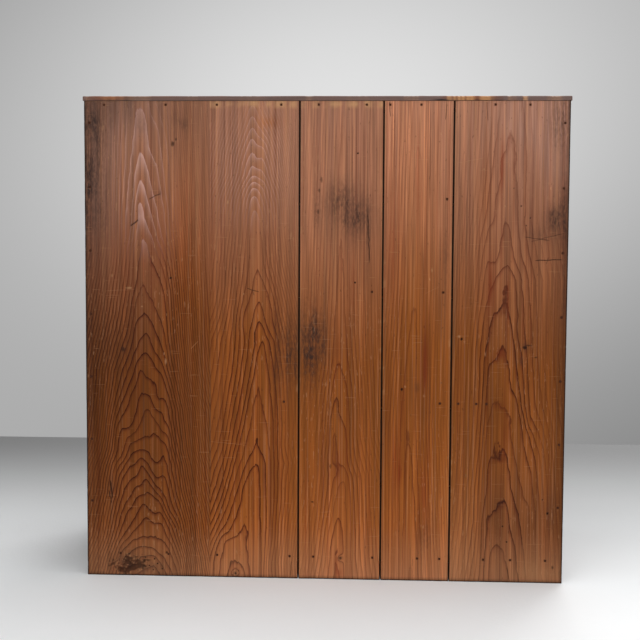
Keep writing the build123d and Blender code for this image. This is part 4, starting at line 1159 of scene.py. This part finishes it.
def dress_nodes():
    """Gives each carried-over node the material of its slot, cut for its own box."""
    iron = black_iron("black_iron", 0.0)
    nail_iron = black_iron("black_iron.nails", 0.95)
    for number, subpart in enumerate(frame["record"]["subparts"]):
        name, slot = subpart["node"], subpart["material_slot"]
        low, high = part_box(name)
        if slot == "black_iron":
            material = nail_iron if name == "back_nails" else iron
        elif slot == "dark_lacquered_cedar":
            material = dark_cedar(name, low, high, number + 1, name == "top_board")
        else:
            kind = slot if slot in PLANED else "plain_cedar"
            material = planed_wood(f"{kind}.{name}", low, high, number + 1, *PLANED[kind])
        nodes[name].data.materials.clear()
        nodes[name].data.materials.append(material)
        if name == "top_board":
            top_board(material)


# Studio. Places are in metres.

FLOOR_X, FLOOR_FROM, FLOOR_TO = 7, -1.30, 9  # half width, and its ends in Y
LAMPS = (  # name, place, aim, width, height, power
    ("key", (0.5, 3.0, 2.9), (0.0, 0.2, 0.75), 2.4, 1.6, 34),
    ("front", (-1.2, -2.8, 2.4), (0.0, -0.2, 0.45), 2.2, 1.6, 75),
    ("over", (0.0, 0.6, 3.4), (0.0, 0.4, 0.0), 2.6, 2.6, 58),
)
LENS, SENSOR = 61.875, 36  # millimetres
CAMERA_PLACE = (-0.0877, 2.2876, 0.6310)
YAW, PITCH, ROLL = 0.0459, 0.0647, 0.0054  # radians


def floor():
    """Plain pale floor, with painted shade that darkens it towards its far end."""
    mesh = bpy.data.meshes.new("floor")
    corners = [(x, y, 0) for x, y in ((-FLOOR_X, FLOOR_FROM), (FLOOR_X, FLOOR_FROM),
                                      (FLOOR_X, FLOOR_TO), (-FLOOR_X, FLOOR_TO))]
    mesh.from_pydata(corners, [], [(0, 1, 2, 3)])
    paint = Paint("floor")
    cloud = paint.noise((2.2, 2.2, 1), 5.0, 1.0)
    grit = paint.noise((160, 160, 1), 3.0, 2.0)
    base = paint.blend(cloud.ramp(0.3, 0.75), (236, 238, 239), (240, 242, 243))
    # Painted shade: the floor darkens towards its far end, where less light falls.
    base = paint.blend(paint.xyz[1].ramp(FLOOR_FROM, 0.6), (118, 118, 118), base)
    mesh.materials.append(paint.finish(base, 0.7 + grit * 0.1, grit, 0.0003))
    ground = link("floor", mesh)


def surroundings():
    """Grey all round: brighter behind the chest as the photograph has it, and softer behind the camera."""
    world = bpy.data.worlds.new("studio")
    bpy.context.scene.world = world
    world.use_nodes = True
    tree = world.node_tree
    x, y, z = axis_values(tree, "Generated")[0]
    fall = (x - 0.03) * (x - 0.03) * 11.0 + (z - 0.11) * (z - 0.11) * 24.0
    wall = 0.3 + (fall * -1.0).math("EXPONENT") * 0.46 - x * (z - 0.08) * 1.1
    room = z.ramp(-0.2, 0.9, 0.10, 0.5)
    level = node_value(tree, "Mix", {0: y.ramp(-0.5, 0.5), 2: wall, 3: room})
    plug(tree, tree.nodes["Background"].inputs["Color"], level)


def lamps():
    """Soft area lamps."""
    for name, place, aim, width, height, power in LAMPS:
        lamp = bpy.data.lights.new(name, "AREA")
        lamp.shape = "RECTANGLE"
        lamp.size, lamp.size_y = width, height
        lamp.energy = power
        holder = link(name, lamp)
        holder.location = place
        holder.rotation_euler = (Vector(aim) - Vector(place)).to_track_quat("-Z", "Y").to_euler()


def camera():
    """The camera where the photograph was taken."""
    lens = bpy.data.cameras.new("camera")
    lens.lens = LENS
    lens.sensor_width = SENSOR
    holder = link("camera", lens)
    level = math.cos(PITCH)
    forward = Vector((math.sin(YAW) * level, -math.cos(YAW) * level, -math.sin(PITCH)))
    turn = forward.to_track_quat("-Z", "Y").to_matrix() @ Euler((0, 0, ROLL)).to_matrix()
    holder.rotation_euler = turn.to_euler()
    holder.location = CAMERA_PLACE
    bpy.context.scene.camera = holder
    bpy.context.scene.view_settings.view_transform = "Standard"


dress_nodes()
cedar = aged_cedar(), shaded_seam_edges()
for board_name in BOARDS:
    back_board(board_name, cedar)
floor()
surroundings()
lamps()
camera()

bpy.context.view_layer.update()
